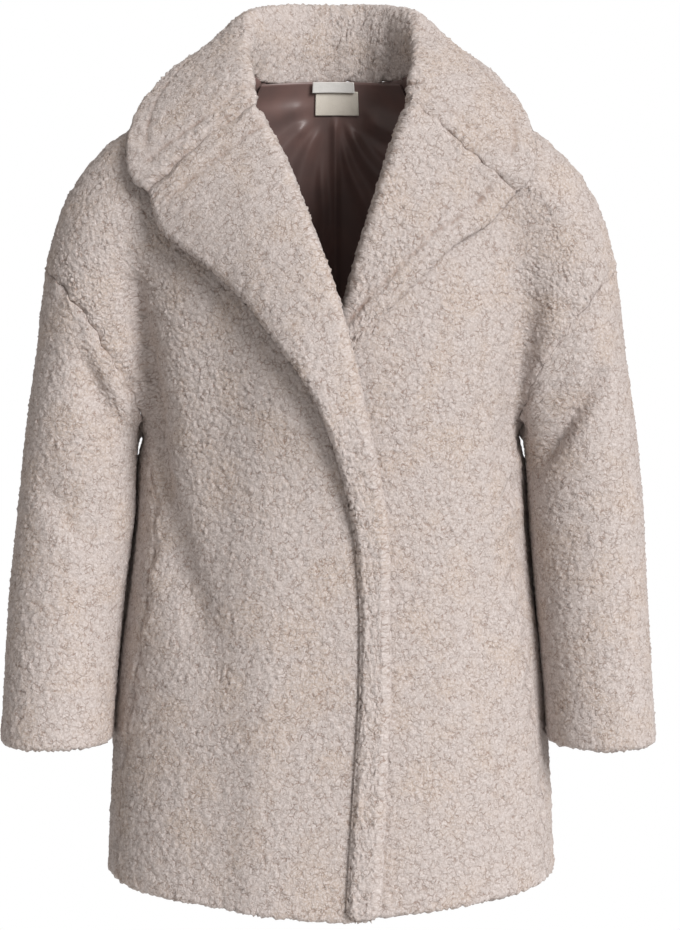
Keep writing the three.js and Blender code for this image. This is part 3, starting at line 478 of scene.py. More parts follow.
def collar_half(side):
    spot, out = front_of(side)
    b_spot, b_out = back_right if side < 0 else back_left
    lap_outer, lap_inner = right_lapel if side < 0 else left_lapel
    last = FRONT_COLUMNS - 1
    neck = [(b_spot[TOP_ROW, c], b_out[TOP_ROW, c], b_spot[TOP_ROW - 1, c])
            for c in range(BACK_MIDDLE, last, -1)]
    neck += [(spot[r, last], out[r, last], spot[r, last - 1]) for r in range(TOP_ROW, GORGE_ROW, -1)]
    seams = []
    for at, way, before in neck:
        away = unit(at - before) * NECK_GAP
        seams.append((at - way * PILE_WALL + away, at + away))
    away = unit(lap_outer[-1] + lap_inner[-1] - lap_outer[-2] - lap_inner[-2]) * 1.2 * SEAM_GAP
    gorge_outer, gorge_inner = (lap_outer[-1] + away)[::-1], (lap_inner[-1] + away)[::-1]
    seams.append((gorge_outer[0], gorge_inner[0]))
    sections = len(COLLAR) - 1
    middles = []
    for k in range(sections * 2):
        at = k / 2
        shape = through(COLLAR, at)[0]
        roll = shape[:3] * (side, 1, 1)
        edge = shape[3:] * (side, 1, 1)
        if at == CORNER_AT:
            edge = np.array(CORNER) * (side, 1, 1)
        low = seams[int(at)]
        high = seams[min(sections, int(at) + 1)]
        outer = mix(low[0], high[0], at % 1)
        inner = mix(low[1], high[1], at % 1)
        seam = mix(outer, inner, 0.5)
        across = unit((edge - seam) * (1, 1, 0))
        size = min(1, max(0.25, np.linalg.norm(roll - seam) / 45))
        before = roll - across * 7 * size - np.array([0, 0, 7 * size])
        after = roll + across * 9 * size - np.array([0, 0, 6 * size])

        def arch(t, after=after, edge=edge):
            return mix(after, edge, t) + np.array([0, 0, 2 * math.sin(math.pi * t)])
        column = np.array([seam, mix(seam, before, 0.5), before, roll, after, arch(0.33), arch(0.67), edge])
        if at == CORNER_AT:
            column = mix(mix(gorge_outer, gorge_inner, 0.5), middles[-1][0], 0.5)
            column[0] = seam
            column[-1] = edge
        middles.append([column, outer, inner, min(1, max(0, at - (sections - 1.5)))])
    clear = DOUBLE_WALL / 2 + 2
    for column, _, _, _ in middles:
        for v in range(4, len(column)):
            for _ in range(6):
                p = column[v:v + 1]
                far = body_form(p)[0]
                if far >= clear:
                    break
                slope = slope_of(body_form, p)[0]
                column[v] = column[v] + slope * (clear + 0.5 - far) / max((slope ** 2).sum(), 0.05)
    middles.append([mix(gorge_outer, gorge_inner, 0.5), gorge_outer[0], gorge_inner[0], 1])
    return middles, gorge_outer, gorge_inner


def collar_faces():
    right, left = collar_half(-1), collar_half(1)
    columns = right[0][::-1] + left[0][1:]
    final = len(columns) - 1
    middle = np.array([c[0] for c in columns]).transpose(1, 0, 2)
    steps = len(middle)
    outer, inner = np.zeros_like(middle), np.zeros_like(middle)
    for v in range(steps):
        for k in range(final + 1):
            along = middle[v, min(final, k + 1)] - middle[v, max(0, k - 1)]
            down = middle[min(steps - 1, v + 1), k] - middle[max(0, v - 1), k]
            out = unit(np.cross(along, down))
            end = right if k < final / 2 else left
            across = end[1][v] - end[2][v]
            ending = columns[k][3]
            thick = (0.75 if v == steps - 1 else 1) * DOUBLE_WALL
            half = mix(thick, np.linalg.norm(across), ending) / 2
            out = unit(mix(out, unit(across), 0.6 * ending))
            outer[v, k] = middle[v, k] + out * half
            inner[v, k] = middle[v, k] - out * half
    outer[:, 0], inner[:, 0] = right[1], right[2]
    outer[:, -1], inner[:, -1] = left[1], left[2]
    outer[0] = [c[1] for c in columns]
    inner[0] = [c[2] for c in columns]
    for _ in range(2):
        for face in (outer, inner):
            face[2:-1, 1:-1] = face[2:-1, 1:-1] / 2 + (face[1:-2, 1:-1] + face[3:, 1:-1]) / 4
    return outer, inner


# Sleeves

BLEND_RINGS = 5
SLEEVE_RINGS = 14
FIRST_LEVEL = -428.0
# Low down both sleeves lie a little further to the wearer's right, and are fuller towards the body.
SLEEVE_SHIFT = -3.0
SLEEVE_SHIFT_FROM, SLEEVE_SHIFT_TO = -430, -570
SLEEVE_FULLNESS = {-1: 9.0, 1: 5.5}
FULL_FROM, FULL_TO = -400, -480


def sleeve_faces(side):
    spot, _ = front_of(side)
    hole = [spot[r, 0] for r in range(ARMPIT_ROW, TOP_ROW)]
    hole += [spot[TOP_ROW, 0]]
    hole += [back_edge(side, r)[0] for r in range(TOP_ROW - 1, ARMPIT_ROW, -1)]
    hole = np.array(hole)
    count = len(hole)
    turn = math.pi + np.arange(count) / count * 2 * math.pi
    spots, outs = [], []
    for r in range(BLEND_RINGS + SLEEVE_RINGS + 1):
        level = mix(FIRST_LEVEL, CUFF_Z, max(0, r - BLEND_RINGS) / SLEEVE_RINGS)
        axis = ARM_LINE[np.abs(ARM_LINE[:, 2] - level).argmin()]
        ring = np.column_stack([side * (axis[0] + axis[3] * np.cos(turn)),
                                axis[1] + axis[4] * np.sin(turn), np.full(count, level)])
        if r < BLEND_RINGS:
            ring = mix(hole, ring, r / BLEND_RINGS)
        at, out = settled(sleeve_form, ring)
        if r == 0:
            at, out = hole.copy(), unit(slope_of(sleeve_form, hole))
        spots.append(at)
        outs.append(out)
    spots, outs = np.array(spots), np.array(outs)
    shift = np.zeros_like(spots)
    shift[0] = unit(spots[1] - spots[0]) * SEAM_GAP
    shift[..., 0] += SLEEVE_SHIFT * ramp(spots[..., 2], SLEEVE_SHIFT_FROM, SLEEVE_SHIFT_TO)
    facing = np.clip(-side * outs[..., 0], 0, 1)
    shift[..., 0] -= side * SLEEVE_FULLNESS[side] * facing * ramp(spots[..., 2], FULL_FROM, FULL_TO)
    return spots + shift, spots - outs * PILE_WALL + shift


# Lining, label and hanger tag

# x and z of the top edge's middle, width, height, how far inside the back it lies, thickness
LABEL = (7, -6, 51, 27, 4.6, 1)
TAG = (3, 5, 52, 12, 6.8, 1.6)

# The back pleat runs down from the neck, and the other folds fan out from its top.
PLEAT_X = 5.0
PLEAT_HIGH = 4.5
PLEAT_HALF = 4.5
FAN_Z = -14.0

# Folds of the lining fan out from under the label: angle from straight down, height, half width as angle,
# and how far from the label the fold begins
LINING_FAN = [(-1.25, 5.0, 0.22, 8), (-0.80, 7.0, 0.15, 12), (-0.44, 6.0, 0.12, 22), (-0.16, 4.0, 0.06, 60),
              (0.24, 4.5, 0.08, 26), (0.52, 7.5, 0.13, 10), (0.76, 4.0, 0.08, 48), (1.12, 7.5, 0.20, 6)]


def lining_fold(x, z):
    pleat = PLEAT_HIGH * np.exp(-(((x - PLEAT_X) / PLEAT_HALF) ** 2)) * ramp(z, -30, -50)
    far = np.hypot(x - PLEAT_X, z - FAN_Z)
    turn = np.arctan2(x - PLEAT_X, FAN_Z - z) + 0.07 * np.sin(far / 31)
    fan = sum(high * np.exp(-(((turn - at) / half) ** 2)) * ramp(far, start, start + 45)
              for at, high, half, start in LINING_FAN)
    label_x, label_z, width, height = LABEL[:4]
    beside = np.abs(x - label_x) - width / 2 - 0.5
    below = label_z - height - 1 - z
    clear = ramp(np.hypot(np.maximum(beside, 0), np.maximum(below, 0)), 1, 26)
    return pleat + fan * ramp(z, -4, -26) * clear * (1 - 0.4 * ramp(far, 120, 330))


# Fine grids

STITCH_HALF = 3.0
# Coarse steps over which a sharp turn fades
SHARP_STEPS = 2.5


def put(name, data):
    """A new object in the scene."""
    thing = bpy.data.objects.new(name, data)
    bpy.context.scene.collection.objects.link(thing)
    return thing


def carry(mesh, name, kind, domain, values):
    """Puts values on the mesh, under a name."""
    made = mesh.attributes.new(name, kind, domain)
    made.data.foreach_set("value" if kind == "FLOAT" else "vector", values.astype(np.float32).ravel())


def quads(rows, columns, first, ring=False, flip=False):
    r, c = np.meshgrid(np.arange(rows - 1), np.arange(columns if ring else columns - 1), indexing="ij")
    nxt = (c + 1) % columns
    a, b = first + r * columns + c, first + r * columns + nxt
    d, e = first + (r + 1) * columns + c, first + (r + 1) * columns + nxt
    faces = np.stack([a, d, e, b] if flip else [a, b, e, d], -1)
    return faces.reshape(-1, 4)


def flattened(grid, place, ring=False):
    """The grid laid flat with least stretch, as its cut piece is; a ring is cut at its first column."""
    if ring:
        grid = np.concatenate([grid, grid[:, :1]], 1)
    rows, columns = grid.shape[:2]
    faces = quads(rows, columns, 0)
    mesh = bpy.data.meshes.new("cut")
    mesh.from_pydata(grid.reshape(-1, 3).tolist(), [], faces.tolist())
    mesh.uv_layers.new(name="flat")
    thing = put("cut", mesh)
    bpy.context.view_layer.objects.active = thing
    bpy.ops.object.mode_set(mode="EDIT")
    bpy.ops.mesh.select_all(action="SELECT")
    bpy.ops.uv.unwrap(method="MINIMUM_STRETCH", margin=0)
    bpy.ops.object.mode_set(mode="OBJECT")
    laid = np.zeros(len(mesh.loops) * 2, np.float32)
    mesh.uv_layers["flat"].uv.foreach_get("vector", laid)
    corners = np.zeros(len(mesh.loops), np.int32)
    mesh.loops.foreach_get("vertex_index", corners)
    flat = np.zeros((rows * columns, 2))
    flat[corners] = laid.reshape(-1, 2)
    bpy.data.objects.remove(thing)
    bpy.data.meshes.remove(mesh)
    solid = grid.reshape(-1, 3)
    real = np.linalg.norm(np.cross(solid[faces[:, 2]] - solid[faces[:, 0]],
                                   solid[faces[:, 3]] - solid[faces[:, 1]]), axis=1).sum()
    a, b = flat[faces[:, 2]] - flat[faces[:, 0]], flat[faces[:, 3]] - flat[faces[:, 1]]
    flat *= math.sqrt(real / np.abs(a[:, 0] * b[:, 1] - a[:, 1] * b[:, 0]).sum())
    return flat.reshape(rows, columns, 2) + 1000.0 * place


def counted(grid, axis, cell, ring=False):
    """How many fine steps each coarse step of a grid takes."""
    if ring:
        grid = np.concatenate([grid, np.take(grid, [0], axis)], axis)
    steps = np.linalg.norm(np.diff(grid, axis=axis), axis=2)
    size = np.percentile(steps, 70, axis=1 - axis)
    return np.maximum(1, np.round(size / cell).astype(int))


def places(counts):
    return np.array([0.0] + [i + (k + 1) / n for i, n in enumerate(counts) for k in range(n)])


def refined(grid, rows, columns, ring=False, split=None):
    """The grid again with those steps, on cubics through its points."""
    high, wide, deep = grid.shape
    flat = grid.reshape(high, -1)
    at = places(rows)
    fine = through(flat, at)
    if split is not None:
        # Near the side edges the armhole turns sharply at the armpit, so it is taken in two runs there.
        from_edge = np.arange(wide)
        if wide > FRONT_COLUMNS:
            from_edge = np.minimum(from_edge, from_edge[::-1])
        near = np.clip(1 - from_edge / SHARP_STEPS, 0, 1)
        fine = mix(fine, in_two_runs(flat, at, split), np.repeat(near, deep)[None])
    fine = fine.reshape(-1, wide, deep).transpose(1, 0, 2).reshape(wide, -1)
    at = places(columns)
    if not ring:
        return through(fine, at).reshape(len(at), -1, deep).transpose(1, 0, 2)
    # A ring's first edge is an armhole, in the same two runs as the panels' edges.
    at = at[:-1]
    smooth = through(np.concatenate([fine[-1:], fine, fine[:2]]), at + 1)
    sharp = in_two_runs(np.concatenate([fine, fine[:1]]), at, SHOULDER_TURN)
    near = np.clip(1 - places(rows) / SHARP_STEPS, 0, 1)
    return mix(smooth, sharp, np.repeat(near, deep)[None]).reshape(len(at), -1, deep).transpose(1, 0, 2)


def normals_of(grid, ring=False):
    if ring:
        wide = np.concatenate([grid[:, -1:], grid, grid[:, :1]], 1)
        along = wide[:, 2:] - wide[:, :-2]
    else:
        along = np.gradient(grid, axis=1)
    return unit(np.cross(along, np.gradient(grid, axis=0)))


def lengths_of(grid, axis):
    """How far each point is along its line from the grid's first edge, and from its last."""
    steps = np.linalg.norm(np.diff(grid, axis=axis), axis=2)
    pad = [(1, 0), (0, 0)] if axis == 0 else [(0, 0), (1, 0)]
    run = np.pad(np.cumsum(steps, axis=axis), pad)
    total = run[-1:, :] if axis == 0 else run[:, -1:]
    return run, total - run


def dropped(far, radius):
    """How much lower a rounded edge is, this far from it."""
    t = np.clip(1 - far / radius, 0, 1)
    return radius * (1 - np.sqrt(1 - t * t))


def valley(far, deep, half):
    """How much lower the cloth lies beside a seam, this far from it."""
    return deep * np.clip(1 - far / half, 0, 1) ** 2


def groove(far, at):
    """The share of a stitched line's depth, this far from an edge."""
    return np.exp(-(((far - at) / STITCH_HALF) ** 2))


# Each edge of a grid: its points, and the points that its way out is measured from
EDGES = {"bottom": (np.s_[0], np.s_[2]), "top": (np.s_[-1], np.s_[-3]),
         "first": (np.s_[:, 0], np.s_[:, 2]), "last": (np.s_[:, -1], np.s_[:, -3])}
# How far a grid's sewn edges are moved out, so that a seam shows no slit
SEAM_CLOSING = 0.16
NECK_CLOSING = 0.6


def closed_up(grid, sides, low):
    """The grid with the named edges moved out a little, its bottom by low, so that a seam shows no slit."""
    grid = grid.copy()
    for side, (edge, inside) in EDGES.items():
        if side in sides:
            grid[edge] += unit(grid[edge] - grid[inside]) * (low if side == "bottom" else SEAM_CLOSING)
    return grid


# Curls, worked out alike for the shapes and for the materials

def fill(tree, made, into):
    """Puts values or links into a node's inputs."""
    for key, value in into.items():
        if isinstance(value, bpy.types.NodeSocket):
            tree.links.new(value, made.inputs[key])
        else:
            made.inputs[key].default_value = value


def node(tree, kind, into=None, **given):
    made = tree.nodes.new(kind)
    for name, value in given.items():
        setattr(made, name, value)
    fill(tree, made, into or {})
    return made


def maths(tree, how, a, b=0.0):
    return node(tree, "ShaderNodeMath", {0: a, 1: b}, operation=how).outputs[0]


def ranged(tree, value, low, high, to_low=0.0, to_high=1.0):
    return node(tree, "ShaderNodeMapRange", {0: value, 1: low, 2: high, 3: to_low, 4: to_high},
                interpolation_type="SMOOTHSTEP").outputs[0]


def noise(tree, place, per_metre, detail=2.0, rough=0.5, warp=0.0):
    return node(tree, "ShaderNodeTexNoise", {"Vector": place, "Scale": per_metre, "Detail": detail,
                                             "Roughness": rough, "Distortion": warp}).outputs


def moved(tree, place, by, far):
    """place moved by a noise's colour, which is 0.5 where it stays."""
    centred = node(tree, "ShaderNodeVectorMath", {0: by, 1: (0.5, 0.5, 0.5)}, operation="SUBTRACT")
    return node(tree, "ShaderNodeVectorMath", {0: centred.outputs[0], 1: (far, far, far), 2: place},
                operation="MULTIPLY_ADD").outputs[0]


# Metres across a clump of curls
CLUMP = 0.0066


def curls(tree, flat):
    """For a place on the flat cloth: how far it is from the parting between two clumps, as a share of their
    size, a noise whose middle values are longer partings, and how open the partings are there."""
    wavy = moved(tree, flat, noise(tree, flat, 150.0, 1.0)["Color"], 0.009)
    wavy = moved(tree, wavy, noise(tree, flat, 420.0, 1.0)["Color"], 0.0042)
    cells = node(tree, "ShaderNodeTexVoronoi", {"Vector": wavy, "Scale": 1 / CLUMP},
                 feature="DISTANCE_TO_EDGE", voronoi_dimensions="2D")
    worms = noise(tree, flat, 105.0, 2.5, 0.55, 0.5)["Fac"]
    return cells.outputs["Distance"], worms, noise(tree, flat, 80.0, 2.0, 0.6)["Fac"]


def read_curls(points):
    """What curls gives at points, in metres."""
    mesh = bpy.data.meshes.new("probe")
    mesh.from_pydata(points.tolist(), [], [])
    thing = put("probe", mesh)
    tree = bpy.data.node_groups.new("curls", "GeometryNodeTree")
    tree.interface.new_socket("Geometry", in_out="INPUT", socket_type="NodeSocketGeometry")
    tree.interface.new_socket("Geometry", in_out="OUTPUT", socket_type="NodeSocketGeometry")
    flow = tree.nodes.new("NodeGroupInput").outputs[0]
    place = tree.nodes.new("GeometryNodeInputPosition").outputs[0]
    names = ("clump", "worms", "open")
    for name, value in zip(names, curls(tree, place)):
        store = node(tree, "GeometryNodeStoreNamedAttribute", data_type="FLOAT", domain="POINT")
        store.inputs["Name"].default_value = name
        tree.links.new(flow, store.inputs["Geometry"])
        tree.links.new(value, store.inputs["Value"])
        flow = store.outputs[0]
    tree.links.new(flow, tree.nodes.new("NodeGroupOutput").inputs[0])
    thing.modifiers.new("curls", "NODES").node_group = tree
    shown = thing.evaluated_get(bpy.context.evaluated_depsgraph_get()).data
    found = []
    for name in names:
        values = np.zeros(len(points), np.float32)
        shown.attributes[name].data.foreach_get("value", values)
        found.append(values.astype(float))
    bpy.data.objects.remove(thing)
    bpy.data.meshes.remove(mesh)
    bpy.data.node_groups.remove(tree)
    return found


# Loops of the pile: width, how far they lean and how far they stand up
LOOP_WIDTH = 2.3
LOOP_LEAN = 0.75
LOOP_TIP = 1.6
# How far the pile hangs over a free edge, less where it is parted, and over how many rows of points
HANG = 2.6
HANG_PARTED = 6.0
HANG_ROWS = 5


def pile_height(flat):
    """How far the pile lies under its tops at places on the flat cloth, from 0 to 1."""
    points = np.concatenate([flat.reshape(-1, 2) / 1000, np.zeros((flat.size // 2, 1))], 1)
    clump, worms, open_ = read_curls(points)
    dome = np.sqrt(np.clip(1 - (1 - np.clip(clump / 0.3, 0, 1)) ** 2, 0, 1))
    low = (1 - dome) * (0.4 + 0.6 * ramp(open_, 0.4, 0.6)) * 0.6 + 1.1 * np.clip(0.60 - worms, 0, 0.5)
    return low.reshape(flat.shape[:2])


# Materials

FUR_COOL = (0.475, 0.415, 0.388, 1)
FUR_WARM = (0.475, 0.39, 0.335, 1)
# Lighter colour of the painted highlight on the raised fine grain
FUR_GRAIN_HIGHLIGHT = (0.625, 0.572, 0.552, 1)
# Brown of the painted shade in the partings, seams and stitched lines
FUR_PAINTED_SHADE = (0.23, 0.145, 0.105, 1)
FUR_SHEEN = (1.0, 0.93, 0.88, 1)
SATIN_LIGHT = (0.180, 0.108, 0.096, 1)
SATIN_DARK = (0.145, 0.094, 0.086, 1)
LABEL_LIGHT, LABEL_DARK = (0.86, 0.81, 0.72, 1), (0.66, 0.60, 0.51, 1)
TAPE_LIGHT, TAPE_DARK = (0.86, 0.85, 0.82, 1), (0.66, 0.65, 0.62, 1)


def read(tree, name, output="Vector"):
    """A value that the meshes carry."""
    return node(tree, "ShaderNodeAttribute", attribute_name=name).outputs[output]


def bumped(tree, strength, far, height):
    into = {"Strength": strength, "Distance": far, "Height": height}
    return node(tree, "ShaderNodeBump", into).outputs[0]


def bands(tree, place, per_metre, **given):
    return node(tree, "ShaderNodeTexWave", {"Vector": place, "Scale": per_metre}, **given).outputs["Fac"]


def principled(name):
    made = bpy.data.materials.new(name)
    made.use_nodes = True
    return made, made.node_tree, made.node_tree.nodes["Principled BSDF"]


def colour_mix(tree, share, a, b, how="MIX"):
    made = node(tree, "ShaderNodeMix", data_type="RGBA", blend_type=how)
    for key, value in (("Factor", share), ("A", a), ("B", b)):
        socket = next(s for s in made.inputs if s.name == key and (key == "Factor" or s.type == "RGBA")
                      and s.enabled)
        if isinstance(value, bpy.types.NodeSocket):
            tree.links.new(value, socket)
        else:
            socket.default_value = value
    return next(s for s in made.outputs if s.type == "RGBA" and s.enabled)


def fur_material():
    made, tree, shader = principled("fur")
    place, flat = read(tree, "rest"), read(tree, "flat")
    clump, worms, open_ = curls(tree, flat)
    # Painted shade in the partings: between the clumps, along longer lines, and at seams and stitched lines
    parted = ranged(tree, open_, 0.42, 0.62, 0.28, 1.0)
    crack = maths(tree, "MULTIPLY", ranged(tree, clump, 0.015, 0.12, 1.0, 0.0), parted)
    bend = maths(tree, "ABSOLUTE", maths(tree, "SUBTRACT", worms, 0.47))
    shut = ranged(tree, noise(tree, flat, 110.0, 1.0)["Fac"], 0.46, 0.58)
    worm = maths(tree, "MULTIPLY", ranged(tree, bend, 0.004, 0.022, 1.0, 0.0), shut)
    seam = maths(tree, "MULTIPLY", read(tree, "seam", "Fac"), ranged(tree, worms, 0.62, 0.38, 0.25, 1.0))
    crack, worm = maths(tree, "MULTIPLY", crack, 0.72), maths(tree, "MULTIPLY", worm, 0.8)
    dark = maths(tree, "MAXIMUM", maths(tree, "MAXIMUM", crack, worm), seam)
    patch = noise(tree, place, 24.0, 3.0)["Fac"]
    grain = noise(tree, flat, 430.0, 3.0, 0.65, 0.4)["Fac"]
    base = colour_mix(tree, ranged(tree, patch, 0.42, 0.68), FUR_COOL, FUR_WARM)
    # Painted highlight: the fine grain that raises the bump also lightens the colour where the pile stands
    # higher.
    base = colour_mix(tree, ranged(tree, grain, 0.34, 0.70), base, FUR_GRAIN_HIGHLIGHT)
    # The partings, seams and stitched lines are darkened towards the brown of the painted shade.
    base = colour_mix(tree, maths(tree, "MULTIPLY", dark, 0.76), base, FUR_PAINTED_SHADE)
    height = maths(tree, "ADD", maths(tree, "MULTIPLY", grain, 1.4), maths(tree, "MULTIPLY", dark, -0.5))
    fill(tree, shader, {"Base Color": base, "Roughness": 0.95, "Specular IOR Level": 0.1,
                        "Sheen Weight": 0.15, "Sheen Roughness": 0.5, "Sheen Tint": FUR_SHEEN,
                        "Normal": bumped(tree, 0.7, 0.0016, height)})
    return made


def satin_material():
    made, tree, shader = principled("satin")
    place = read(tree, "rest")
    patch = noise(tree, place, 30.0, 2.0)["Fac"]
    base = colour_mix(tree, ranged(tree, patch, 0.3, 0.7), SATIN_LIGHT, SATIN_DARK)
    weave = node(tree, "ShaderNodeTexWave", {"Vector": place, "Scale": 900.0, "Distortion": 0.4})
    weave = weave.outputs["Fac"]
    fill(tree, shader, {"Base Color": base, "Roughness": 0.4, "Anisotropic": 0.4, "Sheen Weight": 0.15,
                        "Normal": bumped(tree, 0.08, 0.0002, weave)})
    return made


def woven_material(name, colour, dark):
    made, tree, shader = principled(name)
    place = read(tree, "rest")
    weave = maths(tree, "MAXIMUM", bands(tree, place, 700.0, bands_direction="X"),
                  bands(tree, place, 700.0, bands_direction="Z"))
    soil = noise(tree, place, 120.0, 3.0)["Fac"]
    base = colour_mix(tree, ranged(tree, weave, 0.2, 0.9), dark, colour)
    base = colour_mix(tree, ranged(tree, soil, 0.45, 0.8, 0.0, 0.35), base, dark)
    fill(tree, shader, {"Base Color": base, "Roughness": 0.8, "Normal": bumped(tree, 0.4, 0.0002, weave)})
    return made


FUR = fur_material()
SATIN = satin_material()
LABEL_CLOTH = woven_material("label_cloth", LABEL_LIGHT, LABEL_DARK)
TAPE_CLOTH = woven_material("tape_cloth", TAPE_LIGHT, TAPE_DARK)


# Meshes

def stitched(fine, coarse, kept, flip):
    """Triangles from a fine edge to a coarse one, whose points lie at the kept places of the fine one."""
    made = []
    for j in range(len(kept) - 1):
        a, b = kept[j], kept[j + 1]
        middle = (a + b) // 2
        for i in range(a, b):
            made.append((fine[i], fine[i + 1], coarse[j if i < middle else j + 1]))
        made.append((coarse[j + 1], coarse[j], fine[middle]))
    return [t[::-1] for t in made] if flip else made


def kept_places(count, every):
    kept = list(range(0, count, every))
    if count - 1 - kept[-1] < every / 2 and len(kept) > 1:
        kept[-1] = count - 1
    elif kept[-1] != count - 1:
        kept.append(count - 1)
    return np.array(kept)


def ring_places(count, every):
    """The same round a ring: the last place is the first one again."""
    return np.append(kept_places(count, every)[:-1], count)


def shell(name, outer, inner, every, ring=False, rest_outer=None, rest_inner=None, flat=None, dark=None):
    """A closed mesh of a fine outer grid and an inner one of which every few points are kept."""
    rows, columns = outer.shape[:2]
    keep_r = kept_places(rows, every)
    keep_c = ring_places(columns, every) if ring else kept_places(columns, every)
    used_c = keep_c[:-1] if ring else keep_c
    small = inner[np.ix_(keep_r, used_c)]
    first = rows * columns
    high, wide = small.shape[:2]
    points = np.concatenate([outer.reshape(-1, 3), small.reshape(-1, 3)])
    rest = points
    if rest_outer is not None:
        small_rest = rest_inner[np.ix_(keep_r, used_c)]
        rest = np.concatenate([rest_outer.reshape(-1, 3), small_rest.reshape(-1, 3)])
    outer_faces = quads(rows, columns, 0, ring)
    inner_faces = quads(high, wide, first, ring, flip=True)
    fine_ids = np.arange(first).reshape(rows, columns)
    small_ids = first + np.arange(high * wide).reshape(high, wide)
    if ring:
        fine_ids, small_ids = (np.concatenate([ids, ids[:, :1]], 1) for ids in (fine_ids, small_ids))
    rim = stitched(fine_ids[0], small_ids[0], keep_c, True)
    rim += stitched(fine_ids[-1], small_ids[-1], keep_c, False)
    if not ring:
        rim += stitched(fine_ids[:, 0], small_ids[:, 0], keep_r, False)
        rim += stitched(fine_ids[:, -1], small_ids[:, -1], keep_r, True)
    rim = np.array(rim)
    mesh = bpy.data.meshes.new(name)
    loops = np.concatenate([outer_faces.ravel(), inner_faces.ravel(), rim.ravel()])
    sizes = np.concatenate([np.full(len(outer_faces) + len(inner_faces), 4), np.full(len(rim), 3)])
    starts = np.concatenate([[0], np.cumsum(sizes)[:-1]])
    mesh.vertices.add(len(points))
    mesh.vertices.foreach_set("co", (points / 1000).astype(np.float32).ravel())
    mesh.loops.add(len(loops))
    mesh.loops.foreach_set("vertex_index", loops.astype(np.int32))
    mesh.polygons.add(len(sizes))
    mesh.polygons.foreach_set("loop_start", starts.astype(np.int32))
    mesh.update(calc_edges=True)
    carry(mesh, "rest", "FLOAT_VECTOR", "POINT", rest / 1000)
    # The seam value carries the painted shade of the seams and stitched lines.
    if dark is not None:
        shade = np.zeros(len(points))
        shade[:first] = dark.ravel()
        carry(mesh, "seam", "FLOAT", "POINT", shade)
    if flat is not None:
        inner_flat = flat[np.ix_(keep_r, used_c)]
        laid = np.concatenate([flat[:, :columns].reshape(-1, 2), inner_flat.reshape(-1, 2)])[loops]
        if ring:
            # The faces that close the ring take their far corners from the other side of the cut.
            column = np.concatenate([np.tile(np.arange(columns), rows), np.tile(used_c, high)])[loops]
            last = np.repeat(flat[:, -1], columns, 0), np.repeat(flat[keep_r, -1], wide, 0)
            last = np.concatenate(last)[loops]
            closing = np.repeat(np.maximum.reduceat(column, starts) > columns / 2, sizes) & (column == 0)
            laid = np.where(closing[:, None], last, laid)
        laid = np.column_stack([laid / 1000, np.zeros(len(laid))])
        carry(mesh, "flat", "FLOAT_VECTOR", "CORNER", laid)
    inside = np.zeros(len(sizes), bool)
    inside[len(outer_faces):len(outer_faces) + len(inner_faces)] = True
    mesh.polygons.foreach_set("use_smooth", np.ones(len(sizes), bool))
    tris = np.concatenate([outer_faces[:, [0, 1, 2]], outer_faces[:, [0, 2, 3]],
                           inner_faces[:, [0, 1, 2]], inner_faces[:, [0, 2, 3]], rim])
    corner = points[tris]
    volume = (corner[:, 0] * np.cross(corner[:, 1], corner[:, 2])).sum() / 6e9
    if volume < 0:
        mesh.flip_normals()
    thing = put(name, mesh)
    across = np.cross(corner[:, 1] - corner[:, 0], corner[:, 2] - corner[:, 0])
    area = np.linalg.norm(across, axis=1).sum() / 2e6
    print(f"{name}: {len(tris)} triangles, area {area:.4f} m2, volume {volume * 1e3:.3f} l")
    return thing, inside


CHANCE = np.random.default_rng(11).uniform(-1, 1, (256, 256, 4))


def loops_at(flat):
    """Chance at places on the flat cloth, as loops of pile a little over 2 mm wide: how far each leans,
    and how far it stands up."""
    place = flat / LOOP_WIDTH
    cell = np.floor(place).astype(int)
    u, v = (place - cell)[..., 0, None], (place - cell)[..., 1, None]
    u, v = u * u * (3 - 2 * u), v * v * (3 - 2 * v)
    found = 0
    for i, across in ((0, 1 - u), (1, u)):
        for j, along in ((0, 1 - v), (1, v)):
            found = found + CHANCE[(cell[..., 0] + i) % 256, (cell[..., 1] + j) % 256] * across * along
    return found[..., :3], np.clip(found[..., 3], 0, 1) ** 2


def piled(grid, flat, drop, depth, ring=False, proud=0.8, way=1, sewn=(), tight=0.0):
    """A fine grid with its rounded edges and its pile, whose loops stand up and lean."""
    out = normals_of(grid, ring) * way
    lean, tip = loops_at(flat)
    loose = np.ones(grid.shape[:2])
    for side in sewn:
        loose[EDGES[side][0]] = 0
    low = pile_height(flat)
    rise = (proud - drop - depth * low + LOOP_TIP * tip * loose) * (1 - tight)
    beyond = np.zeros(grid.shape)
    for side, end, step in (("bottom", 0, 1), ("top", -1, -1)):
        if side not in sewn:
            # The pile hangs over a free edge.
            way_on = unit(grid[end] - grid[end + 3 * step])
            for k in range(HANG_ROWS):
                row = end + k * step
                beyond[row] = way_on * ((1 - k / HANG_ROWS) * (HANG - HANG_PARTED * low[row]))[:, None]
    return grid + out * rise[..., None] + LOOP_LEAN * lean * loose[..., None] + beyond


def wobble(points):
    """A small wave in space, so that both pieces at a seam bend alike."""
    wide = np.sin(points @ (np.array([[1.0, -0.7, 0.4], [0.5, 0.9, -1.0], [-0.8, 0.6, 0.9]]) / 5.5))
    small = np.sin(points @ (np.array([[0.8, 1.1, -0.5], [-1.0, 0.4, 1.1], [0.6, -1.2, 0.7]]) / 2.6))
    return 1.5 * wide + 0.7 * small


def seam_waves(points, runs, seams):
    near = np.max([np.exp(-((far / 12) ** 2)) for far, side in zip(runs, EDGES) if side in seams], axis=0)
    return wobble(points) * near[..., None]


# How far the armpit reaches, and how far from its seams
ARMPIT_X = 203.0
ARMPIT_REACH = 45.0
ARMPIT_SEAM_REACH = 9.0


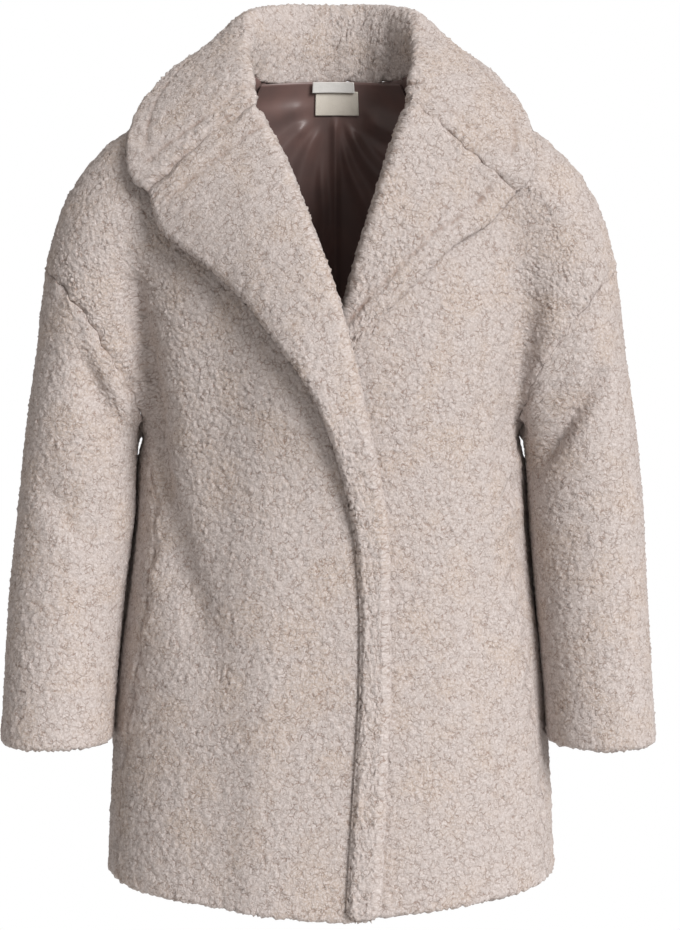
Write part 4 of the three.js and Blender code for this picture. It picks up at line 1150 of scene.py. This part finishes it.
def armpit_share(points, runs, seams):
    """1 at the seams in the armpit, where the two walls lie face to face, and 0 away from there."""
    x, y, z = points[..., 0], points[..., 1], points[..., 2]
    armpit = np.sqrt((np.abs(x) - ARMPIT_X) ** 2 + y ** 2 + (z - ARMPIT_Z) ** 2)
    far = np.min([run for run, side in zip(runs, EDGES) if side in seams], axis=0)
    return np.exp(-((armpit / ARMPIT_REACH) ** 4)) * np.exp(-((far / ARMPIT_SEAM_REACH) ** 2))


# The body's sides are fuller behind the sleeves: how much low down and high up, y of the middle, half width
BULGE_LOW, BULGE_HIGH = 7.0, 9.0
BULGE_Y, BULGE_HALF = 14.0, 20.0
# z where it starts on each side, grows and ends under the armpit, and the x that it keeps between
BULGE_STARTS = {-1: (-745, -680), 1: (-640, -560)}
BULGE_GROWS, BULGE_ENDS = (-600, -500), (-380, -428)
BULGE_FROM_X, BULGE_TO_X = (180, 196), (250, 240)


def side_bulge(points):
    x, y, z = points[..., 0], points[..., 1], points[..., 2]
    low = np.where(x < 0, ramp(z, *BULGE_STARTS[-1]), ramp(z, *BULGE_STARTS[1])) * ramp(z, *BULGE_ENDS)
    near = ramp(np.abs(x), *BULGE_FROM_X) * ramp(np.abs(x), *BULGE_TO_X)
    near = near * np.exp(-(((y - BULGE_Y) / BULGE_HALF) ** 2))
    out = np.zeros(points.shape)
    out[..., 0] = np.sign(x) * mix(BULGE_LOW, BULGE_HIGH, ramp(z, *BULGE_GROWS)) * near * low
    return out


def rounding(runs, rounds, share=1.0):
    """How much lower the free edges are, each rounded by a share of its own radius."""
    far = dict(zip(EDGES, runs))
    return np.max([dropped(far[side], share * radius) for side, radius in rounds.items()], axis=0)


SEAM_HALF = 11.0
# Painted shade beside the seams: how far from a seam it reaches and how dark it is for each mm of valley
# depth, and how dark the painted shade in a stitched line is
SEAM_SHADE_REACH = 3.5
SEAM_PAINTED_SHADE = 0.14
STITCH_PAINTED_SHADE = 0.9


def shaped_edges(runs, rounds, seams, stitches):
    """Rounding of free edges, valleys of seams and stitched lines: how low, and how dark with painted
    shade, from 0 to 1.
    """
    drop, dark = np.zeros_like(runs[0]), np.zeros_like(runs[0])
    for far, side in zip(runs, EDGES):
        if side in rounds:
            drop = np.maximum(drop, dropped(far, rounds[side]))
        if side in seams:
            drop = np.maximum(drop, valley(far, seams[side], SEAM_HALF))
            dark = np.maximum(dark, np.clip(1 - far / SEAM_SHADE_REACH, 0, 1) * SEAM_PAINTED_SHADE * seams[side])
        if side in stitches:
            at, deep, where = stitches[side]
            line = groove(far, at) * where
            drop = drop + deep * line
            dark = np.maximum(dark, line * STITCH_PAINTED_SHADE)
    return drop, dark


# Share of the outer face's rounding that the inner one has
INNER_ROUND = 0.35


def panel(name, outer, inner, cell, rounds, seams, every=5, depth=2.0, ring=False, split=None):
    """One fur panel: its fine outer face with pile, its inner face of satin."""
    rows, columns = counted(outer, 0, cell), counted(outer, 1, cell, ring)
    fine = refined(outer, rows, columns, ring, split)
    flat = refined(flattened(outer, len(bpy.data.meshes), ring), rows, columns, False, split)
    back = refined(inner, rows, columns, ring, split)
    way = np.sign((normals_of(fine, ring) * (fine - back)).sum())
    runs = lengths_of(fine, 0) + (lengths_of(fine, 1) if not ring else ())
    creased = crease_at(fine) * (1 - armpit_share(fine, runs, seams))
    bent = seam_waves(fine, runs, seams) - (normals_of(fine, ring) * way) * creased[..., None]
    bent = bent + (0 if ring else side_bulge(fine))
    fine, back = fine + bent, back + bent
    drop, dark = shaped_edges(runs, rounds, seams, {})
    shaped = piled(fine, flat[:, :fine.shape[1]], drop, depth, ring, way=way, sewn=seams,
                   tight=armpit_share(fine, runs, seams))
    shaped = closed_up(shaped, seams, SEAM_CLOSING)
    low = rounding(runs, rounds, INNER_ROUND)
    inside_face = back + unit(fine - back) * low[..., None]
    thing, inside = shell(name, shaped, inside_face, every, ring, fine, back, flat, dark)
    thing.data.materials.append(FUR)
    thing.data.materials.append(SATIN)
    thing.data.polygons.foreach_set("material_index", inside.astype(np.int32))
    return thing


def pushed(points, runs, pushes):
    """Points moved out near a corner, but not where they are sewn."""
    for centre, radius, move, side in pushes:
        near = np.linalg.norm(points - np.array(centre), axis=2)
        held = ramp(runs[list(EDGES).index(side)], 0, 10)
        points = points + (np.exp(-((near / radius) ** 2)) * held)[..., None] * np.array(move)
    return points


def double(name, outer, inner, cell, rounds, unders, seams, stitches=None, pushes=(), every=2, depth=3.2,
           low=SEAM_CLOSING):
    """A piece with pile on both faces. stitches gives, for an edge, how far in the stitched line lies, how
    deep it is and where it shows."""
    middle = (outer + inner) / 2
    rows, columns = counted(middle, 0, cell), counted(middle, 1, cell)
    fine, back = refined(outer, rows, columns), refined(inner, rows, columns)
    flat = refined(flattened(middle, len(bpy.data.meshes)), rows, columns)
    way = np.sign((normals_of(fine) * (fine - back)).sum())
    thick = np.linalg.norm(fine - back, axis=2)
    runs = lengths_of(fine, 0) + lengths_of(fine, 1)
    bent = seam_waves((fine + back) / 2, runs, seams)
    fine, back = pushed(fine + bent, runs, pushes), pushed(back + bent, runs, pushes)
    drop, dark = shaped_edges(runs, rounds, seams, stitches(fine) if stitches else {})
    under = rounding(runs, unders)
    share = np.minimum(1, (thick - 1.2) / np.maximum(drop + under, 1e-6))
    drop, under = drop * share, under * share
    # The pile is longest at the free edges.
    free = np.min([far for far, side in zip(runs, EDGES) if side in unders and unders[side] > 4], axis=0)
    deep = depth * (1 + 0.7 * np.exp(-free / 9))
    shaped = closed_up(piled(fine, flat, drop, deep, way=way, proud=1.0, sewn=EDGES), seams, low)
    below = closed_up(piled(back, flat, under + 0.5, 1.2, proud=0.0, way=-way, sewn=EDGES), seams, low)
    thing = shell(name, shaped, below, every, False, fine, back, flat, dark)[0]
    thing.data.materials.append(FUR)
    return thing


def grids(spots, outs, lift):
    outer = spots + outs * lift[..., None]
    return outer, outer - outs * PILE_WALL


# Size of the fine cells, and how deep the valleys at the seams are, which also sets how much painted shade
# lies along them
PANEL_CELL = 2.0
BACK_CELL = 2.68
SLEEVE_CELL = 1.9
LAPEL_CELL = 1.9
COLLAR_CELL = 2.0
RIGHT_SEAMS = {"top": 1.2, "first": 3.4}
LEFT_SEAMS = {"top": 1.2, "first": 1.4}
BACK_SEAMS = {"top": 1.2, "first": 3.4, "last": 1.4}
COLLAR_SEAMS = {"bottom": 2.0, "first": 2.8, "last": 2.8}
# How far inside an edge a stitched line lies
STITCH_IN = 27.0


def worn(fine, seed):
    """An uneven share along a stitched line, where the pile covers it more or less."""
    place = fine * (1 / 13.0)
    wave = np.sin(place @ (1.3, 0.7, 1.1) + seed) + np.sin(place @ (-0.8, 1.9, 2.3) + 2 * seed)
    return np.clip(0.72 + 0.22 * wave, 0.2, 1.1)


def right_stitches(fine):
    """A line below the gorge."""
    return {"top": (STITCH_IN, 1.9, ramp(lengths_of(fine, 1)[0], 16, 27) * worn(fine, 1.0))}


def left_stitches(fine):
    """A line inside the free edge, where the lapel is wide."""
    high = ramp(fine[..., 2], -330, -270) * ramp(lengths_of(fine, 0)[1], 6, 16)
    return {"first": (STITCH_IN, 3.0, high * worn(fine, 2.0))}


def collar_stitches(fine):
    """A box inside each end's free edges."""
    free = lengths_of(fine, 0)[1]
    ends = np.minimum(*lengths_of(fine, 1))
    side = ramp(ends, 20, 27) * ramp(ends, 230, 150) * worn(fine, 3.0)
    far = ramp(free, 20, 27)
    return {"top": (STITCH_IN, 1.9, side), "first": (STITCH_IN, 1.2, far * worn(fine, 4.0)),
            "last": (STITCH_IN, 1.2, far * worn(fine, 5.0))}


# The front edge's hem is lifted to the panel's, with its two corners rounded off.
hem_row = (right_lapel[0][0] + right_lapel[1][0]) / 2
HEM_CORNERS = [(hem_row[0], 9, (2, 0, 7), "top"), (hem_row[-2], 9, (-2, 0, 7), "top")]
HEM_CORNERS += [(spot, 12, (0, 0, 1.6), "top") for spot in hem_row[1:5]]
# The corners at the notch, drawn out: where, how far around, by how much and at which seam
LAPEL_CORNERS = {side: [((side * 186, -135, -138), 20, (side * 8, 0, 2), "top")] for side in (-1, 1)}
LAPEL_CORNERS[-1] += HEM_CORNERS
COLLAR_CORNERS = [((side * 197, -74, -108), 22, (side * 7, 0, -3), edge)
                  for side, edge in ((-1, "first"), (1, "last"))]

pieces = {}
for name, front, lift, seams in (("right", right_front, right_lift, RIGHT_SEAMS),
                                 ("left", left_front, no_lift, LEFT_SEAMS)):
    pieces[f"front_{name}"] = panel(f"coat_front_{name}", *grids(*front, lift(front[0])), PANEL_CELL,
                                    {"bottom": 6, "last": 3}, seams, split=ARMPIT_ROW)
pieces["back"] = panel("coat_back", back_spot + back_shift, back_spot - back_out * PILE_WALL + back_shift,
                       BACK_CELL, {"bottom": 6}, BACK_SEAMS, split=ARMPIT_ROW)
for side, name in ((-1, "right"), (1, "left")):
    pieces[f"sleeve_{name}"] = panel(f"coat_sleeve_{name}", *sleeve_faces(side), SLEEVE_CELL, {"top": 6},
                                     {"bottom": 1.6}, ring=True)
for side, name, faces, lines in ((-1, "right", right_lapel, right_stitches),
                                 (1, "left", left_lapel, left_stitches)):
    pieces[f"lapel_{name}"] = double(
        f"coat_lapel_{name}", *faces, LAPEL_CELL, {"bottom": 5, "first": 7}, {"bottom": 3, "first": 6},
        {"top": 2.8}, lines, LAPEL_CORNERS[side])
pieces["collar"] = double("coat_collar", *collar_faces(), COLLAR_CELL, {"top": 7}, {"top": 6}, COLLAR_SEAMS,
                          collar_stitches, COLLAR_CORNERS, low=NECK_CLOSING)


# Lining, label, tag

def inside_back(x, z, depth):
    at, out = straight_to(np.column_stack([x.ravel(), 0 * x.ravel(), z.ravel()]), 1)
    return (at - out * np.asarray(depth).reshape(-1, 1)).reshape(x.shape + (3,))


# Points down and across
LINING_POINTS = (141, 181)
PATCH_POINTS = (25, 49)


def lining():
    rows, columns = LINING_POINTS
    down, across = np.meshgrid(np.linspace(0, 1, rows), np.linspace(-1, 1, columns), indexing="ij")
    x = across * mix(LINING_TOP_HALF, LINING_LOW_HALF, np.minimum(1, 2.4 * down))
    z = mix(LINING_TOP - LINING_DIP * across ** 2, LINING_LOW, down)
    deep = PILE_WALL + LINING_IN + lining_fold(x, z)
    near, far = inside_back(x, z, deep + LINING_WALL), inside_back(x, z, deep)
    thing = shell("coat_lining_back", near, far, 2)[0]
    thing.data.materials.append(SATIN)
    return thing


def patch(name, place, material):
    x, z, width, height, level, wall = place
    rows, columns = PATCH_POINTS
    down, across = np.meshgrid(np.linspace(0, 1, rows), np.linspace(-0.5, 0.5, columns), indexing="ij")
    px, pz = x + width * across, z - height * down
    near = inside_back(px, pz, PILE_WALL + level + wall + 0 * px)
    far = inside_back(px, pz, PILE_WALL + level + 0 * px)
    thing = shell(name, near, far, 4)[0]
    thing.data.materials.append(material)
    return thing


pieces["lining_back"] = lining()
pieces["label"] = patch("coat_label", LABEL, LABEL_CLOTH)
pieces["hanger_tag"] = patch("coat_hanger_tag", TAG, TAPE_CLOTH)

for name, thing in pieces.items():
    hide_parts(name)
    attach(thing, "root")

# Stage

FLOOR_SIZE = 2.6
FLOOR_Z = -1.35
FLOOR_GREY = (0.93, 0.93, 0.93, 1)
SOFT_COLOUR = (1.0, 0.95, 0.915, 1)
SOFT_STRENGTH = 0.43
SUN_STRENGTH = 3.25
SUN_SPREAD = 26.0
SUN_COLOUR = (1.0, 0.99, 0.985)
SUN_WAY = (-0.58, 0.70, -0.44)

bpy.ops.mesh.primitive_plane_add(size=FLOOR_SIZE, location=(0, 0, FLOOR_Z))
floor = bpy.context.object
floor.name = "floor"
floor_paint, tree, shader = principled("floor")
fill(tree, shader, {"Base Color": FLOOR_GREY, "Roughness": 0.9})
floor.data.materials.append(floor_paint)

# The studio's walls look white and give a softer light.
world = bpy.data.worlds.new("studio")
bpy.context.scene.world = world
world.use_nodes = True
tree = world.node_tree
soft = tree.nodes["Background"]
fill(tree, soft, {"Color": SOFT_COLOUR, "Strength": SOFT_STRENGTH})
white = node(tree, "ShaderNodeBackground", {"Color": (1, 1, 1, 1), "Strength": 1.0})
seen = node(tree, "ShaderNodeLightPath").outputs["Is Camera Ray"]
both = node(tree, "ShaderNodeMixShader", {0: seen, 1: soft.outputs[0], 2: white.outputs[0]})
tree.links.new(both.outputs[0], tree.nodes["World Output"].inputs["Surface"])

sun = bpy.data.lights.new("key", "SUN")
sun.energy = SUN_STRENGTH
sun.angle = math.radians(SUN_SPREAD)
sun.color = SUN_COLOUR
key = put("key", sun)
key.rotation_euler = Vector(SUN_WAY).to_track_quat("-Z", "Y").to_euler()

# Camera at the photograph's angle

CAMERA_PLACE = (0, -2.3, -0.186)
LENS = 82.45
SHIFT = (0.0097, -0.2312)

data = bpy.data.cameras.new("camera")
camera = put("camera", data)
camera.location = CAMERA_PLACE
camera.rotation_euler = (math.radians(90), 0, 0)
data.sensor_width = 36
data.lens = LENS
data.shift_x, data.shift_y = SHIFT
bpy.context.scene.camera = camera
bpy.context.scene.view_settings.view_transform = "Standard"
